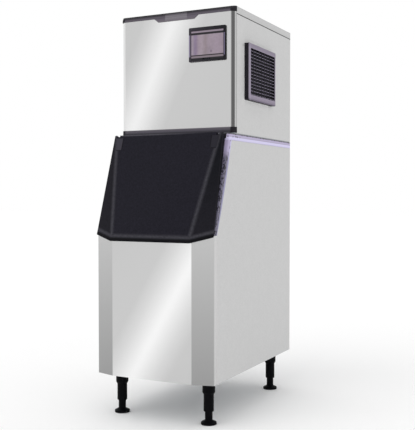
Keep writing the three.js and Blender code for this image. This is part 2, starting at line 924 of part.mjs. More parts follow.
function footScrew(x, y) {
  const shoulder = leg.tubeBottom - gap;
  return turned('z', [
    [0, 0],
    [foot.radius, 0],
    [foot.radius, foot.rim],
    [foot.stemRadius, foot.dome],
    [foot.stemRadius, shoulder],
    [foot.screwRadius, shoulder],
    [foot.screwRadius, shoulder + foot.screwHeight],
    [0, shoulder + foot.screwHeight],
  ], [x, y, 0], legSides);
}

// Head cabinet

const panBottom = binTop + gap;
const panTop = panBottom + panPlate;
const backPanelY = -sheet - gap - sheet;
const cabinetBottom = binTop + headSeam;
const lidBottom = cabinetTop - lidSkirt;
const rolledBackY = -(headDepth - rolledRadius) + gap;
const sideFrontY = rolledBackY + gap;
const frontPanelBottom = cabinetBottom + trim.baseBottom + trim.baseHeight + gap;
const topTrimBottom = cabinetTop - trim.topHeight;
const frontPanelTop = topTrimBottom - gap;

const paddlePin = { y: -chute.front + paddle.behindHole, z: binTop - paddle.below };

function headBasePan() {
  const inset = sheet + gap;
  const outer = headFront(inset, backPanelY - gap);
  const plate = prism('z', panBottom, panTop, outer);
  const inner = headFront(inset + sheet, backPanelY - gap - sheet);
  const flange = prism('z', panBottom, panTop + panFlange, outer, [inner]);
  const { right, front, rim: rimHeight } = dropHole;
  const hole = (grow, low, high) => box(
    [-linerInner - grow, -right + grow], [-front - grow, -chute.front + grow], [low, high]);
  const collar = hole(sheet, panBottom, panTop + rimHeight);
  const { y: earY, z: earZ } = paddlePin;
  const ears = [-1, 1].map((side) => {
    const near = paddle.half + gap;
    const [low, high] = span(side, near, near + paddle.ear);
    const outline = [
      [earY - paddle.hub, panTop],
      [earY - paddle.hub, earZ - paddle.hub],
      [earY + paddle.hub, earZ - paddle.hub],
      [earY + paddle.hub, panTop],
    ];
    return prism('x', low - paddle.along, high - paddle.along, outline);
  });
  const bore = rod('x', -width, 0, paddle.pin + gap, [earY, earZ], pipeSides);
  const passage = rod('y', -backWall, overrun, tank.drainRadius + gap, [-drainAlong, panTop + drainHeight]);
  const cutters = [hole(0, panBottom - overrun, panTop + panFlange), bore, passage];
  return cut(join([plate, flange, collar, ...ears]), cutters);
}

function headFrontPanel() {
  const shell = prism('z', frontPanelBottom, frontPanelTop,
    strip(headFront(0, rolledBackY), headFront(sheet, rolledBackY)));
  const flange = prism('z', frontPanelTop - sheet, frontPanelTop,
    strip(headFront(sheet / 2, rolledBackY), headFront(returnFlange, rolledBackY)));
  const inset = controlWindow.collarInset - gap;
  const opening = prism('y', -headDepth - overrun, -headDepth + overrun,
    rectangle(drawnIn(windowX, inset), drawnIn(windowZ, inset)));
  return cut(join([shell, flange]), [opening]);
}

const grilleBottom = grille.top - grille.tall;
const field = {
  y: [-(grille.front - grille.sideBorder), -(grille.back + grille.backBorder)],
  z: [grilleBottom + grille.bottomBorder, grille.top - grille.topBorder],
};

function headSidePanel(side) {
  const top = lidBottom - gap;
  const opening = rectangle(field.y, field.z, grille.corner / 2);
  const face = prism('x', ...span(side, half - sheet, half),
    rectangle([sideFrontY, 0], [cabinetBottom, top]), side > 0 ? [opening] : []);
  const flange = box(span(side, half - returnFlange, half), [-sheet, 0], [cabinetBottom, top]);
  return join([face, flange]);
}

function headBackPanel() {
  const wide = half - sheet - gap;
  const slots = spread(louvre.rows, 0, louvre.rows - 1).flatMap((row) =>
    spread(louvre.columns, 0, louvre.columns - 1).map((column) => {
      const right = half - fromSide.louvre - column * louvre.pitchAcross;
      const bottom = cabinetTop - fromTop.louvre + row * louvre.pitchUp;
      return rectangle([right - louvre.wide, right], [bottom, bottom + louvre.tall]);
    }));
  const holes = [
    circle(valve.thread + gap, [-valve.along, valve.height]),
    circle(tank.drainRadius + gap, [-drainAlong, panTop + drainHeight]),
    circle(gland.body + gap, [gland.along, binTop + gland.up]),
  ];
  const plate = rectangle([-wide, wide], [cabinetBottom, lidBottom - gap]);
  return prism('y', backPanelY, backPanelY + sheet, plate, [...slots, ...holes]);
}

function headTopCover() {
  const plate = box([-half, half], [sideFrontY, 0], [cabinetTop - sheet, cabinetTop]);
  const skirt = (x, y) => box(x, y, [lidBottom, cabinetTop]);
  return join([
    plate,
    skirt([-half, -half + sheet], [sideFrontY, 0]),
    skirt([half - sheet, half], [sideFrontY, 0]),
    skirt([-half, half], [-sheet, 0]),
  ]);
}

// Trim over the front's top edge, its face leaning back above, with a tab down its middle
function topTrim() {
  const plan = headFront(-trim.proud, rolledBackY);
  const depth = headDepth + trim.proud + rolledBackY;
  const at = (z, lean) => plan.map(([x, y]) => [x, y + (rolledBackY - y) * (lean / depth), z]);
  const bar = loft([
    at(topTrimBottom, 0),
    at(cabinetTop - trim.bevel, 0),
    at(cabinetTop, trim.bevelDepth + trim.proud),
  ]);
  const front = -headDepth - trim.proud;
  const tongue = prism('y', front, front + tab.thick, [
    [-tab.halfBottom, topTrimBottom - tab.drop],
    [tab.halfBottom, topTrimBottom - tab.drop],
    [tab.halfTop, topTrimBottom + tab.thick],
    [-tab.halfTop, topTrimBottom + tab.thick],
  ]);
  return join([bar, tongue]);
}

function baseTrim() {
  const bottom = cabinetBottom + trim.baseBottom;
  const plan = strip(headFront(-trim.proud, rolledBackY), headFront(sheet, rolledBackY));
  return prism('z', bottom, bottom + trim.baseHeight, plan);
}

// Control window

const windowX = [half - fromSide.window - controlWindow.wide, half - fromSide.window];
const windowZ = [cabinetTop - fromTop.window - controlWindow.tall, cabinetTop - fromTop.window];
const coverX = drawnIn(windowX, controlWindow.sideBar);
const coverZ = [windowZ[0] + controlWindow.bottomBar, windowZ[1] - controlWindow.topBar];
const coverBack = -headDepth - controlWindow.bezelProud + cover.thick + cover.play;
const coverAxis = { y: coverBack - cover.thick / 2, z: coverZ[1] - cover.play - cover.thick / 2 };
const collarBack = -headDepth + controlWindow.collarDepth;

function windowBezel() {
  const frontY = -headDepth - controlWindow.bezelProud;
  const seat = coverBack + gap;
  const outer = rectangle(windowX, windowZ, controlWindow.corner);
  const frame = prism('y', frontY, seat, outer, [rectangle(coverX, coverZ)]);
  const ledge = [drawnIn(coverX, controlWindow.ledge), drawnIn(coverZ, controlWindow.ledge)];
  const ring = prism('y', seat, -headDepth - gap, outer, [rectangle(...ledge)]);
  const inset = controlWindow.collarInset;
  const collar = prism('y', -headDepth - gap - cover.play, collarBack,
    rectangle(drawnIn(windowX, inset), drawnIn(windowZ, inset)), [rectangle(...ledge)]);
  const pinSpan = drawnIn(coverX, -cover.pinLength - gap);
  const bore = rod('x', ...pinSpan, cover.pinRadius + gap, [coverAxis.y, coverAxis.z], pipeSides);
  return cut(join([frame, ring, collar]), [bore]);
}

function windowCover() {
  const left = coverX[0] + cover.play;
  const right = coverX[1] - cover.play;
  const bottom = coverZ[0] + cover.play;
  const notchLeft = left + notch.left;
  const plate = prism('y', coverBack - cover.thick, coverBack, [
    [left, bottom],
    [notchLeft, bottom],
    [notchLeft, bottom + notch.tall],
    [notchLeft + notch.wide, bottom + notch.tall],
    [notchLeft + notch.wide, bottom],
    [right, bottom],
    [right, coverAxis.z],
    [left, coverAxis.z],
  ]);
  const centre = [coverAxis.y, coverAxis.z];
  const roll = rod('x', left, right, cover.thick / 2, centre, pipeSides);
  const pins = rod('x', ...drawnIn(coverX, -cover.pinLength), cover.pinRadius, centre, pipeSides);
  return join([plate, roll, pins]);
}

const panelX = drawnIn(windowX, controlWindow.collarInset - panel.setIn);
const panelZ = drawnIn(windowZ, controlWindow.collarInset - panel.setIn);
const panelFront = collarBack + gap;

function controlPanel() {
  const rearY = panelFront + panel.sheet;
  const screenX = panelX[0] + display.left;
  const screenZ = panelZ[0] + display.bottom;
  const holes = Object.values(buttonPlaces).map((along) =>
    circle(button.radius + button.play, [panelX[0] + along, panelZ[0] + button.up]));
  const rockerX = panelX[0] + rocker.along;
  const rockerZ = panelZ[0] + rocker.up;
  const rockerHole = rectangle(
    drawnIn([rockerX - rocker.wide / 2, rockerX + rocker.wide / 2], -rocker.play),
    drawnIn([rockerZ - rocker.half, rockerZ + rocker.half], -rocker.play),
  );
  const plate = prism('y', panelFront, rearY, rectangle(panelX, panelZ), [...holes, rockerHole]);
  const screen = box([screenX, screenX + display.width], [panelFront - panel.displayProud, rearY],
    [screenZ, screenZ + display.height]);
  return join([plate, screen]);
}

function pushButton(along) {
  const centre = [panelX[0] + along, panelZ[0] + button.up];
  const rearY = panelFront + panel.sheet + gap;
  const cap = rod('y', panelFront - button.proud, rearY + button.collarThick, button.radius, centre);
  return join([cap, rod('y', rearY, rearY + button.collarThick, button.collar, centre)]);
}

// Rocker: a shallow saddle on a pivot, pressed at its top
const rockerAxis = { y: panelFront + panel.sheet / 2, z: panelZ[0] + rocker.up };
function powerRocker() {
  const x = panelX[0] + rocker.along;
  const saddle = [
    [-rocker.proud / 2, -rocker.half],
    [-rocker.proud, -rocker.half],
    [-rocker.proud / 2, 0],
    [-rocker.proud, rocker.half],
    [-rocker.proud / 2, rocker.half],
    [rocker.behind, 0],
  ];
  const turnedBack = saddle.map((corner) => rotate(corner, -rocker.angle * degree));
  const points = turnedBack.map(([y, z]) => [rockerAxis.y + y, rockerAxis.z + z]);
  return prism('x', x - rocker.wide / 2, x + rocker.wide / 2, points);
}

function controlBoxShell() {
  const { margin, depth } = controlBox;
  const inside = margin + gap;
  const outside = inside + sheet;
  const front = -headDepth + sheet + gap;
  const rear = front + depth;
  const shell = box(drawnIn(panelX, -outside), [front, rear], drawnIn(panelZ, -outside));
  const hollow = box(drawnIn(panelX, -inside), [front - overrun, rear - sheet], drawnIn(panelZ, -inside));
  const ledgeY = panelFront + panel.sheet + gap;
  const ledge = box(drawnIn(panelX, -outside), [ledgeY, ledgeY + sheet], drawnIn(panelZ, -outside));
  const ledgeHole = box(drawnIn(panelX, margin), [front, rear], drawnIn(panelZ, margin));
  return join([shell.subtract(hollow), ledge.subtract(ledgeHole)]);
}

// Air intake: a shallow hood of louvres that lifts off with its filter

function intakeGrille() {
  const y = [-grille.front, -grille.back];
  const z = [grilleBottom, grille.top];
  const start = half + gap;
  const end = half + grille.standOut;
  const outline = rectangle(y, z, grille.corner);
  const skirt = prism('x', start, end - grille.face, outline,
    [rectangle(drawnIn(y, grille.wall), drawnIn(z, grille.wall), grille.corner - grille.wall)]);
  const face = prism('x', end - grille.face, end, outline, [rectangle(field.y, field.z)]);
  const slatFront = end - grille.slatSetBack;
  const pitch = (field.z[1] - field.z[0]) / grille.slats;
  const reach = [field.y[0] - grille.wall, field.y[1] + grille.wall];
  const slats = spread(grille.slats, field.z[0] + pitch / 2, field.z[1] - pitch / 2).map((middle) => {
    const low = middle - grille.slatRise / 2;
    const high = middle + grille.slatRise / 2;
    return prism('y', ...reach, [
      [slatFront, low - grille.slatThick / 2],
      [slatFront, low + grille.slatThick / 2],
      [slatFront - grille.slatDepth, high],
    ]);
  });
  const step = (field.y[1] - field.y[0]) / (grille.mullions + 1);
  const bars = spread(grille.mullions, field.y[0] + step, field.y[1] - step).map((middle) => box(
    [slatFront, slatFront + grille.mullionDeep],
    [middle - grille.mullionWide / 2, middle + grille.mullionWide / 2],
    [field.z[0] - grille.wall, field.z[1] + grille.wall],
  ));
  return join([skirt, face, ...slats, ...bars]);
}

function airFilter() {
  const inset = grille.wall + gap;
  const y = drawnIn([-grille.front, -grille.back], inset);
  const z = drawnIn([grilleBottom, grille.top], inset);
  const outline = rectangle(y, z, grille.corner - grille.wall);
  return prism('x', half + gap, half + gap + filter.thick, outline);
}

// Water and ice side

const drainAlong = half - fromSide.drain;
const tankBack = evaporator.middle - tank.behind;
const tankTop = binTop + tank.tall;
const chuteLow = tankTop + chute.foot;
const chuteHigh = chuteLow + chute.rise;
const platesBottom = chuteHigh + evaporator.aboveChute;
const floatY = -tankBack - floatPost.fromTankBack;
const rowPitch = (evaporator.top - platesBottom - 2 * coil.margin) / (coil.rows - 1);
const compressorAlong = (bulkheadAt + half) / 2 + compressor.aside;
const coreY = [-grille.front + condenser.frontInset, -grille.back - condenser.backInset];
const coreZ = [grilleBottom + condenser.bottomInset, grille.top - condenser.topInset];
const pipeTop = coreZ[1] + condenser.pipeUp;
const fanCentre = [(coreY[0] + coreY[1]) / 2, (coreZ[0] + coreZ[1]) / 2];
const rowHeights = spread(coil.rows, platesBottom + coil.margin, evaporator.top - coil.margin);

function bulkhead() {
  const y = [-headDepth + fromFront.bulkhead, backPanelY - gap - sheet - gap];
  const z = [panTop + gap, lidBottom - gap];
  const plate = box([bulkheadAt, bulkheadAt + sheet], y, z);
  const foot = box([bulkheadAt, bulkheadAt + returnFlange], y, [z[0], z[0] + sheet]);
  const rows = [rowHeights[0], rowHeights.at(-1)];
  const radius = coil.radius + coil.play;
  const holes = rows.map((height) => rod('x', 0, overrun, radius, [-evaporator.middle, height]));
  return cut(join([plate, foot]), holes);
}

// Plan of the ice plates: hollow channels between ribs on both faces, drawn in by the sheet for the inside
function channelPlan(inset) {
  const { left, right, middle, channels, channelSteps, sag, rib, ribHeight, endRib } = evaporator;
  const flat = coil.radius + coil.play + evaporator.sheet + sag - inset;
  const pitch = (left - right - 2 * endRib) / channels;
  const face = [[-left + inset, flat]];
  for (let channel = 0; channel < channels; channel += 1) {
    const start = -left + endRib + pitch * channel;
    const low = start + rib / 2;
    const high = start + pitch - rib / 2;
    spread(channelSteps + 1, 0, 1).forEach((share) =>
      face.push([low + (high - low) * share, flat - sag * Math.sin(share * Math.PI)]));
    if (inset === 0 && channel + 1 < channels) {
      face.push([high, flat + ribHeight], [high + rib, flat + ribHeight]);
    }
  }
  face.push([-right - inset, flat]);
  return strip(face.map(([x, deep]) => [x, -middle - deep]), face.map(([x, deep]) => [x, -middle + deep]));
}

function evaporatorPlates() {
  const { top, middle, earReach, earThick } = evaporator;
  const bottom = platesBottom;
  const shell = prism('z', bottom, top, channelPlan(0), [channelPlan(evaporator.sheet)]);
  const ear = (x) => box(x, [-middle - earThick / 2, -middle + earThick / 2], [bottom, top]);
  const ears = [
    ear([-evaporator.right - evaporator.sheet, -evaporator.right + earReach]),
    ear([-evaporator.left - earReach / 2, -evaporator.left + evaporator.sheet]),
  ];
  const rows = [rowHeights[0], rowHeights.at(-1)];
  const holes = rows.map((height) =>
    rod('x', -evaporator.right - overrun, overrun, coil.radius + coil.play, [-middle, height]));
  return cut(join([shell, ...ears]), holes);
}

// One copper line: from the condenser, back and forth between the plates, and on to the compressor
function evaporatorCoil() {
  const y = -evaporator.middle;
  const [left, right] = [-evaporator.left + coil.inset, -evaporator.right - coil.inset];
  const low = rowHeights[0];
  const high = rowHeights.at(-1);
  const headerY = coreY[0] - condenser.headerOut;
  const lead = bent([
    [condenser.along, headerY, coreZ[1] + condenser.headerOver + gap],
    [condenser.along, headerY, pipeTop],
    [liquidLine.along, headerY, pipeTop],
    [liquidLine.along, headerY, low],
    [liquidLine.along, y, low],
    [right, y, low],
  ], liquidLine.bend);
  const bend = rowPitch / 2;
  const turns = [];
  for (let row = 0; row + 1 < coil.rows; row += 1) {
    const toLeft = row % 2 === 0;
    const x = toLeft ? left : right;
    const sign = toLeft ? -1 : 1;
    const centre = rowHeights[row] + bend;
    for (let step = 0; step <= 2 * bendSteps; step += 1) {
      const turn = (step / (2 * bendSteps)) * Math.PI;
      turns.push(new THREE.Vector3(x + sign * bend * Math.sin(turn), y, centre - bend * Math.cos(turn)));
    }
  }
  const suctionAlong = compressorAlong - compressor.suction;
  const tail = bent([
    [right, y, high],
    [suctionAlong, y, high],
    [suctionAlong, -compressor.across, high],
    [suctionAlong, -compressor.across, panTop + compressor.stubTop + gap],
  ], suctionLine.bend);
  return pipe([...lead.slice(0, -1), ...turns, ...tail.slice(1)], coil.radius);
}

function waterDistributor() {
  const y = -evaporator.middle;
  const bottom = evaporator.top + gap;
  const x = [-evaporator.left, -evaporator.right];
  const top = bottom + sprayTube.height;
  const shell = box(x, [y - sprayTube.half, y + sprayTube.half], [bottom, top]);
  const hollow = box(
    [x[0] + sprayTube.endInset, x[1] - sprayTube.endInset],
    [y - sprayTube.half + sprayTube.wall, y + sprayTube.half - sprayTube.wall],
    [bottom + sprayTube.wall, top - sprayTube.wall],
  );
  const slit = box(
    [x[0] + 2 * sprayTube.endInset, x[1] - 2 * sprayTube.endInset],
    [y - sprayTube.wall / 2, y + sprayTube.wall / 2],
    [bottom - overrun, bottom + sprayTube.height / 2],
  );
  return cut(shell, [hollow, slit]);
}

function waterTank() {
  const x = [-tank.left, -tank.right];
  const y = [-tank.front, -tankBack];
  const bottom = panTop + gap;
  const shell = box(x, y, [bottom, tankTop]);
  const hollow = box([x[0] + tank.wall, x[1] - tank.wall], [y[0] + tank.wall, y[1] - tank.wall],
    [bottom + tank.wall, tankTop + overrun]);
  const post = rod('z', bottom, bottom + floatPost.height, floatPost.radius, [-floatPost.along, floatY]);
  const centre = [-drainAlong, panTop + drainHeight];
  const spout = rod('y', -tankBack - tank.wall / 2, fittingReach, tank.drainRadius, centre);
  const boreRadius = tank.drainRadius - tank.wall;
  const bore = rod('y', -tankBack - 2 * tank.wall, fittingReach + overrun, boreRadius, centre);
  return cut(join([cut(shell, [hollow]), post, spout]), [bore]);
}

// Slatted slide that lets the water through and the crescents down to the drop opening
function iceChute() {
  const { front, thick, bars, barWide, crossbars, barDeep } = chute;
  const [low, high] = [chuteLow, chuteHigh];
  const rear = evaporator.middle - chute.behind;
  const x = [-tank.left, -tank.right];
  const foot = tankTop + gap;
  const profile = [
    [-front, foot],
    [-front, low],
    [-rear, high],
    [-rear + thick, high],
    [-rear + thick, foot],
  ];
  const cheeks = [[x[0], x[0] + tank.wall], [x[1] - tank.wall, x[1]]].map((at) => prism('x', ...at, profile));
  const slide = [[-front, low - thick], [-front, low], [-rear, high], [-rear, high - thick]];
  const slats = spread(bars, x[0] + tank.wall + barWide, x[1] - tank.wall - barWide).map((middle) =>
    prism('x', middle - barWide / 2, middle + barWide / 2, slide));
  const ties = spread(crossbars, 0, 1).map((share) => {
    const y = -front + barDeep + (front - rear - 2 * barDeep) * share;
    const z = low + ((high - low) * (y + front)) / (front - rear) - thick;
    const barY = [y - barDeep / 2, y + barDeep / 2];
    return box(drawnIn(x, tank.wall / 2), barY, [z - barDeep / 2, z + thick / 2]);
  });
  return join([...cheeks, ...slats, ...ties]);
}

function waterPump() {
  const floor = panTop + gap + tank.wall + gap;
  const y = -tankBack - pump.fromTankBack;
  const at = [-pump.along, y];
  const motorBottom = tankTop + pump.motorUp;
  const motorTop = motorBottom + pump.motorHeight;
  const seat = tankTop + gap;
  const bridge = box([-pump.along - pump.motorRadius, -pump.along + pump.motorRadius],
    [y - pump.motorRadius, -tankBack], [seat, seat + pump.bridge]);
  const outletZ = floor + pump.voluteHeight / 2;
  const riserTop = evaporator.top + gap + sprayTube.height / 2;
  const riser = pipe(bent([
    [-pump.along, y, outletZ],
    [-pump.riserAlong, y, outletZ],
    [-pump.riserAlong, y, riserTop],
    [-pump.riserAlong, -evaporator.middle + sprayTube.half + gap, riserTop],
  ], pump.riserRadius * 2), pump.riserRadius);
  return join([
    rod('z', motorBottom, motorTop, pump.motorRadius, at, fine),
    rod('z', floor, motorTop - pump.bridge, pump.columnRadius, at),
    rod('z', floor, floor + pump.voluteHeight, pump.volute, at, fine),
    bridge,
    riser,
  ]);
}

function levelFloat() {
  const bottom = panTop + gap + tank.wall + floatBody.up;
  const { radius, height } = floatBody;
  const bore = floatPost.radius + floatPost.play;
  return turned('z', [[bore, 0], [radius, 0], [radius, height], [bore, height], [bore, 0]],
    [-floatPost.along, floatY, bottom]);
}

function inletValve() {
  const { along, height, half: wide, deep, tall, thread, fill, fillTurn } = valve;
  const fillDrop = tankTop + valve.fillUp;
  const seat = backPanelY - gap;
  const blockZ = [height - tall / 2, height + tall / 2];
  const block = box([-along - wide, -along + wide], [seat - deep, seat], blockZ);
  const nose = rod('y', seat - deep / 2, fittingReach, thread, [-along, height]);
  const bore = rod('y', 0, fittingReach + overrun, thread / 2, [-along, height], pipeSides);
  const tankY = -tankBack - tank.wall - 2 * fill;
  const tube = pipe(bent([
    [-along, seat - deep / 2, height - tall / 4],
    [-along, -fillTurn, height - tall / 4],
    [-along, -fillTurn, fillDrop],
    [-along, tankY, fillDrop],
    [-along, tankY, tankTop - tank.wall],
  ], fill * 2), fill);
  return cut(join([block, nose, tube]), [bore]);
}

function binPaddle() {
  const { along, half: wide, plate, tail, hub, pin: pinRadius, ear } = paddle;
  const { y, z } = paddlePin;
  const centre = [y, z];
  const reach = wide + gap + ear + gap;
  return join([
    rod('x', -along - wide, -along + wide, hub, centre),
    rod('x', -along - reach, -along + reach, pinRadius, centre, pipeSides),
    box([-along - wide, -along + wide], [y - plate / 2, y + plate / 2], [z - tail, z]),
  ]);
}

// Refrigeration side

function hermeticCompressor() {
  const base = panTop + gap;
  const along = compressorAlong;
  const { across: acrossAt, radius, bottom, shoulder, wallTop, top, canShares } = compressor;
  const can = turned('z', [
    [0, bottom],
    [radius * canShares.base, bottom],
    [radius, shoulder],
    [radius, wallTop],
    [radius * canShares.crown, wallTop + (top - wallTop) * canShares.crownRise],
    [radius * canShares.dome, wallTop + (top - wallTop) * canShares.domeRise],
    [0, top],
  ], [along, -acrossAt, panTop]);
  const { plateHalf, plateDeep, plateThick, foot: footTop, grommet, stub, stubTop } = compressor;
  const plate = box([along - plateHalf, along + plateHalf], [-acrossAt - plateDeep, -acrossAt + plateDeep],
    [panTop + footTop, panTop + footTop + plateThick]);
  const corners = [[-1, -1], [-1, 1], [1, -1], [1, 1]];
  const grommets = corners.map(([a, b]) => rod('z', base, panTop + footTop + plateThick / 2, grommet,
    [along + a * (plateHalf - grommet), -acrossAt + b * (plateDeep - grommet)]));
  const stubs = [-compressor.suction, compressor.discharge].map((offset) =>
    rod('z', panTop + wallTop, panTop + stubTop, stub, [along + offset, -acrossAt]));
  return join([can, plate, ...grommets, ...stubs]);
}

// Flat tubes between two headers with folded fins, all one core, and the pipe from the compressor
function finCondenser() {
  const c = condenser;
  const y = coreY;
  const [bottom, top] = coreZ;
  const layer = (top - bottom - c.tube) / c.fins;
  const fold = (y[1] - y[0]) / c.folds;
  const holes = [];
  for (let row = 0; row < c.fins; row += 1) {
    const low = bottom + c.tube + row * layer;
    const high = low + layer - c.tube;
    for (let column = 0; column < c.folds; column += 1) {
      const start = y[0] + column * fold;
      const middle = start + fold / 2;
      const fin = 2 * c.fin;
      holes.push([[start + fin, low], [start + fold - fin, low], [middle, high - fin]]);
      if (column > 0) holes.push([[middle - fold + fin, high], [start, low + fin], [middle - fin, high]]);
    }
  }
  const x = [c.along - c.depth / 2, c.along + c.depth / 2];
  const headerY = drawnIn(y, -c.headerOut);
  const core = prism('x', ...x, rectangle(headerY, coreZ), holes);
  const headerZ = drawnIn(coreZ, -c.headerOver);
  const headers = headerY.map((at) => rod('z', ...headerZ, c.header, [c.along, at]));
  const stubX = compressorAlong + compressor.discharge;
  const discharge = pipe(bent([
    [c.along, headerY[1], top],
    [c.along, headerY[1], pipeTop],
    [c.along, -compressor.across, pipeTop],
    [stubX, -compressor.across, pipeTop],
    [stubX, -compressor.across, panTop + compressor.stubTop + gap],
  ], c.bend), c.pipe);
  return join([core, ...headers, discharge]);
}

// Upright sheet that carries the fan and the condenser, with a collar round the blades
function fanShroud() {
  const y = [-grille.front - shroud.beyondFront, -grille.back + shroud.beyondBack];
  const z = [panTop + gap, grille.top + shroud.above];
  const x = shroud.along;
  const centre = fanCentre;
  const throatRing = circle(shroud.throat, centre, fine);
  const collarRing = circle(shroud.throat + shroud.collarThick, centre, fine);
  const plate = prism('x', x, x + sheet, rectangle(y, z), [throatRing]);
  const collar = prism('x', x - shroud.collar, x + sheet, collarRing, [throatRing]);
  const shelfZ = coreZ[0] - condenser.headerOver - gap - sheet;
  return join([
    plate,
    collar,
    box([x, x + shroud.lip], y, [shelfZ, shelfZ + sheet]),
    box([x, x + returnFlange], y, [z[0], z[0] + sheet]),
    box([x, x + shroud.lip / 2], [y[0], y[0] + sheet], z),
    box([x, x + shroud.lip / 2], [y[1] - sheet, y[1]], z),
  ]);
}

function fanMotor() {
  const centre = fanCentre;
  const to = shroud.along - motor.behindShroud;
  const from = to - motor.deep;
  const arms = [0, 1, 2].flatMap((i) => {
    const turn = Math.PI / 2 + (i * 2 * Math.PI) / 3;
    const along = (distance, aside) => [
      centre[0] + distance * Math.cos(turn) - aside * Math.sin(turn),
      centre[1] + distance * Math.sin(turn) + aside * Math.cos(turn),
    ];
    const edge = motor.arm / 2;
    const bar = (near, far) => [along(near, -edge), along(far, -edge), along(far, edge), along(near, edge)];
    const strapAt = from + motor.foot;
    const seat = shroud.along - gap;
    return [
      prism('x', strapAt, strapAt + motor.strap, bar(motor.radius / 2, motor.ring + motor.strap)),
      prism('x', strapAt, seat, bar(motor.ring, motor.ring + motor.strap)),
      prism('x', seat - motor.strap, seat, bar(motor.ring, motor.ring + motor.foot)),
    ];
  });
  return join([
    turned('x', [
      [0, 0],
      [motor.radius - motor.foot, 0],
      [motor.radius, motor.foot],
      [motor.radius, motor.deep],
      [0, motor.deep],
    ], [from, ...centre]),
    rod('x', from + motor.foot, to + motor.shaftOut, motor.shaft, centre),
    ...arms,
  ]);
}

function fanBlade() {
  const centre = fanCentre;
  const hubTo = shroud.along - fan.behindShroud;
  const hubFrom = hubTo - fan.hubDeep;
  const middle = (hubFrom + hubTo) / 2;
  const hub = rod('x', hubFrom, hubTo, fan.hub, centre, fine);
  const root = fan.hub - fan.rootDepth;
  const tip = Array.from({ length: cornerSteps + 1 }, (_, i) => {
    const turn = -Math.asin(fan.chordTip / 2 / fan.radius) * (1 - (2 * i) / cornerSteps);
    return new THREE.Vector2(fan.radius * Math.sin(turn), fan.radius * Math.cos(turn));
  });
  const shape = new THREE.Shape([
    new THREE.Vector2(-fan.chordRoot / 2, root), ...tip, new THREE.Vector2(fan.chordRoot / 2, root)]);
  const blades = Array.from({ length: fan.bladeCount }, (_, i) => {
    const blade = new THREE.ExtrudeGeometry(shape, { depth: fan.bladeThick, bevelEnabled: false });
    blade.translate(0, 0, -fan.bladeThick / 2);
    blade.rotateY(Math.PI / 2 - fan.angle * degree);
    blade.rotateX(Math.PI / 2 + (i * 2 * Math.PI) / fan.bladeCount);
    return solid(blade.translate(middle, ...centre));
  });
  const bore = rod('x', hubFrom - overrun, hubTo + overrun, fan.bore, centre);
  return cut(join([hub, ...blades]), [bore]);
}

function cordGland() {
  const { along, flange, body, nut, bore, out, nutLength, step } = gland;
  const front = backPanelY + sheet + gap;
  const rearFace = backPanelY - gap;
  return turned('y', [
    [bore, rearFace - nutLength],
    [nut, rearFace - nutLength],
    [nut, rearFace],
    [body, rearFace],
    [body, front],
    [flange, front],
    [flange, front + step],
    [body, front + step + step],
    [body, out],
    [bore, out],
    [bore, rearFace - nutLength],
  ], [along, 0, binTop + gland.up], round);
}

// Finishes
const finish = (color, roughness, metalness = 0, opacity = 1) => new THREE.MeshStandardMaterial({
  color, roughness, metalness, opacity, transparent: opacity < 1 });
const steel = finish(0xc8c8c8, 0.35, 0.9);
const galvanised = finish(0xa9adb0, 0.5, 0.8);
const copper = finish(0xb87552, 0.35, 0.9);
const trimGrey = finish(0x5f5b63, 0.5);
const rimLilac = finish(0xc8bee0, 0.45);
const white = finish(0xe6e8ea, 0.5);
const foam = finish(0xe3d9a8, 0.9);
const doorBlack = finish(0x26252d, 0.55);
const capBlack = finish(0x34333b, 0.5);
const rubber = finish(0x1b1b1d, 0.8);
const legBlack = finish(0x15141a, 0.5);
const bezelBlack = finish(0x2e2b32, 0.4);
const smoked = finish(0x958891, 0.1, 0, 0.6);
const grilleBlack = finish(0x24232a, 0.5);
const grey = finish(0x8a8f94, 0.6);
const buttonGreen = finish(0x2f8a4a, 0.4);
const buttonBlue = finish(0x2b5f9e, 0.4);
const compressorBlack = finish(0x202124, 0.45, 0.3);

const machine = new THREE.Group();
const door = new THREE.Group();
door.position.set(0, doorTopY, doorTopZ);
door.rotation.x = Math.PI / 2 - hoodTilt;
machine.add(door);

function add(name, body, material, parent = machine) {
  const { vertProperties, triVerts } = body.getMesh();
  const geometry = new THREE.BufferGeometry();
  geometry.setAttribute('position', new THREE.BufferAttribute(vertProperties, 3));
  geometry.setIndex(new THREE.BufferAttribute(triVerts, 1));
  geometry.computeVertexNormals();
  const mesh = new THREE.Mesh(geometry, material);
  mesh.name = name;
  parent.add(mesh);
}

const sides = { left: -1, right: 1 };

add('bin_base_pan', binBasePan(), galvanised);
add('bin_front_panel', binFrontPanel(), steel);
add('bin_back_panel', binBackPanel(), galvanised);
add('bin_insulation', binInsulation(), foam);
add('bin_liner', binLiner(), white);
add('rim_header', rimHeader(), rimLilac);
add('rim_sill', rimSill(), rimLilac);
add('bin_drain', binDrainPipe(), white);
add('door_shell', doorShell(), doorBlack, door);
add('door_liner', doorLiner(), white, door);
add('door_gasket', doorGasket(), rubber, door);
for (const [word, side] of Object.entries(sides)) {
  add(`bin_side_panel_${word}`, binSidePanel(side), steel);
  add(`rim_${word}`, rim(side), rimLilac);
  add(`hinge_pin_${word}`, hingePin(side), steel);
  add(`hinge_cap_${word}`, hingeCapPlate(side), capBlack, door);
  for (const [place, depth] of [['front', binDepth - leg.behindFront], ['back', leg.backDepth]]) {
    add(`leg_${place}_${word}`, legTube(side * (half - leg.setIn), -depth), legBlack);
    add(`foot_${place}_${word}`, footScrew(side * (half - leg.setIn), -depth), legBlack);
  }
  add(`head_side_panel_${word}`, headSidePanel(side), steel);
}
add('head_base_pan', headBasePan(), galvanised);
add('head_front_panel', headFrontPanel(), steel);
add('head_back_panel', headBackPanel(), galvanised);
add('head_top_cover', headTopCover(), steel);
add('top_trim', topTrim(), trimGrey);
add('base_trim', baseTrim(), trimGrey);
add('window_bezel', windowBezel(), bezelBlack);
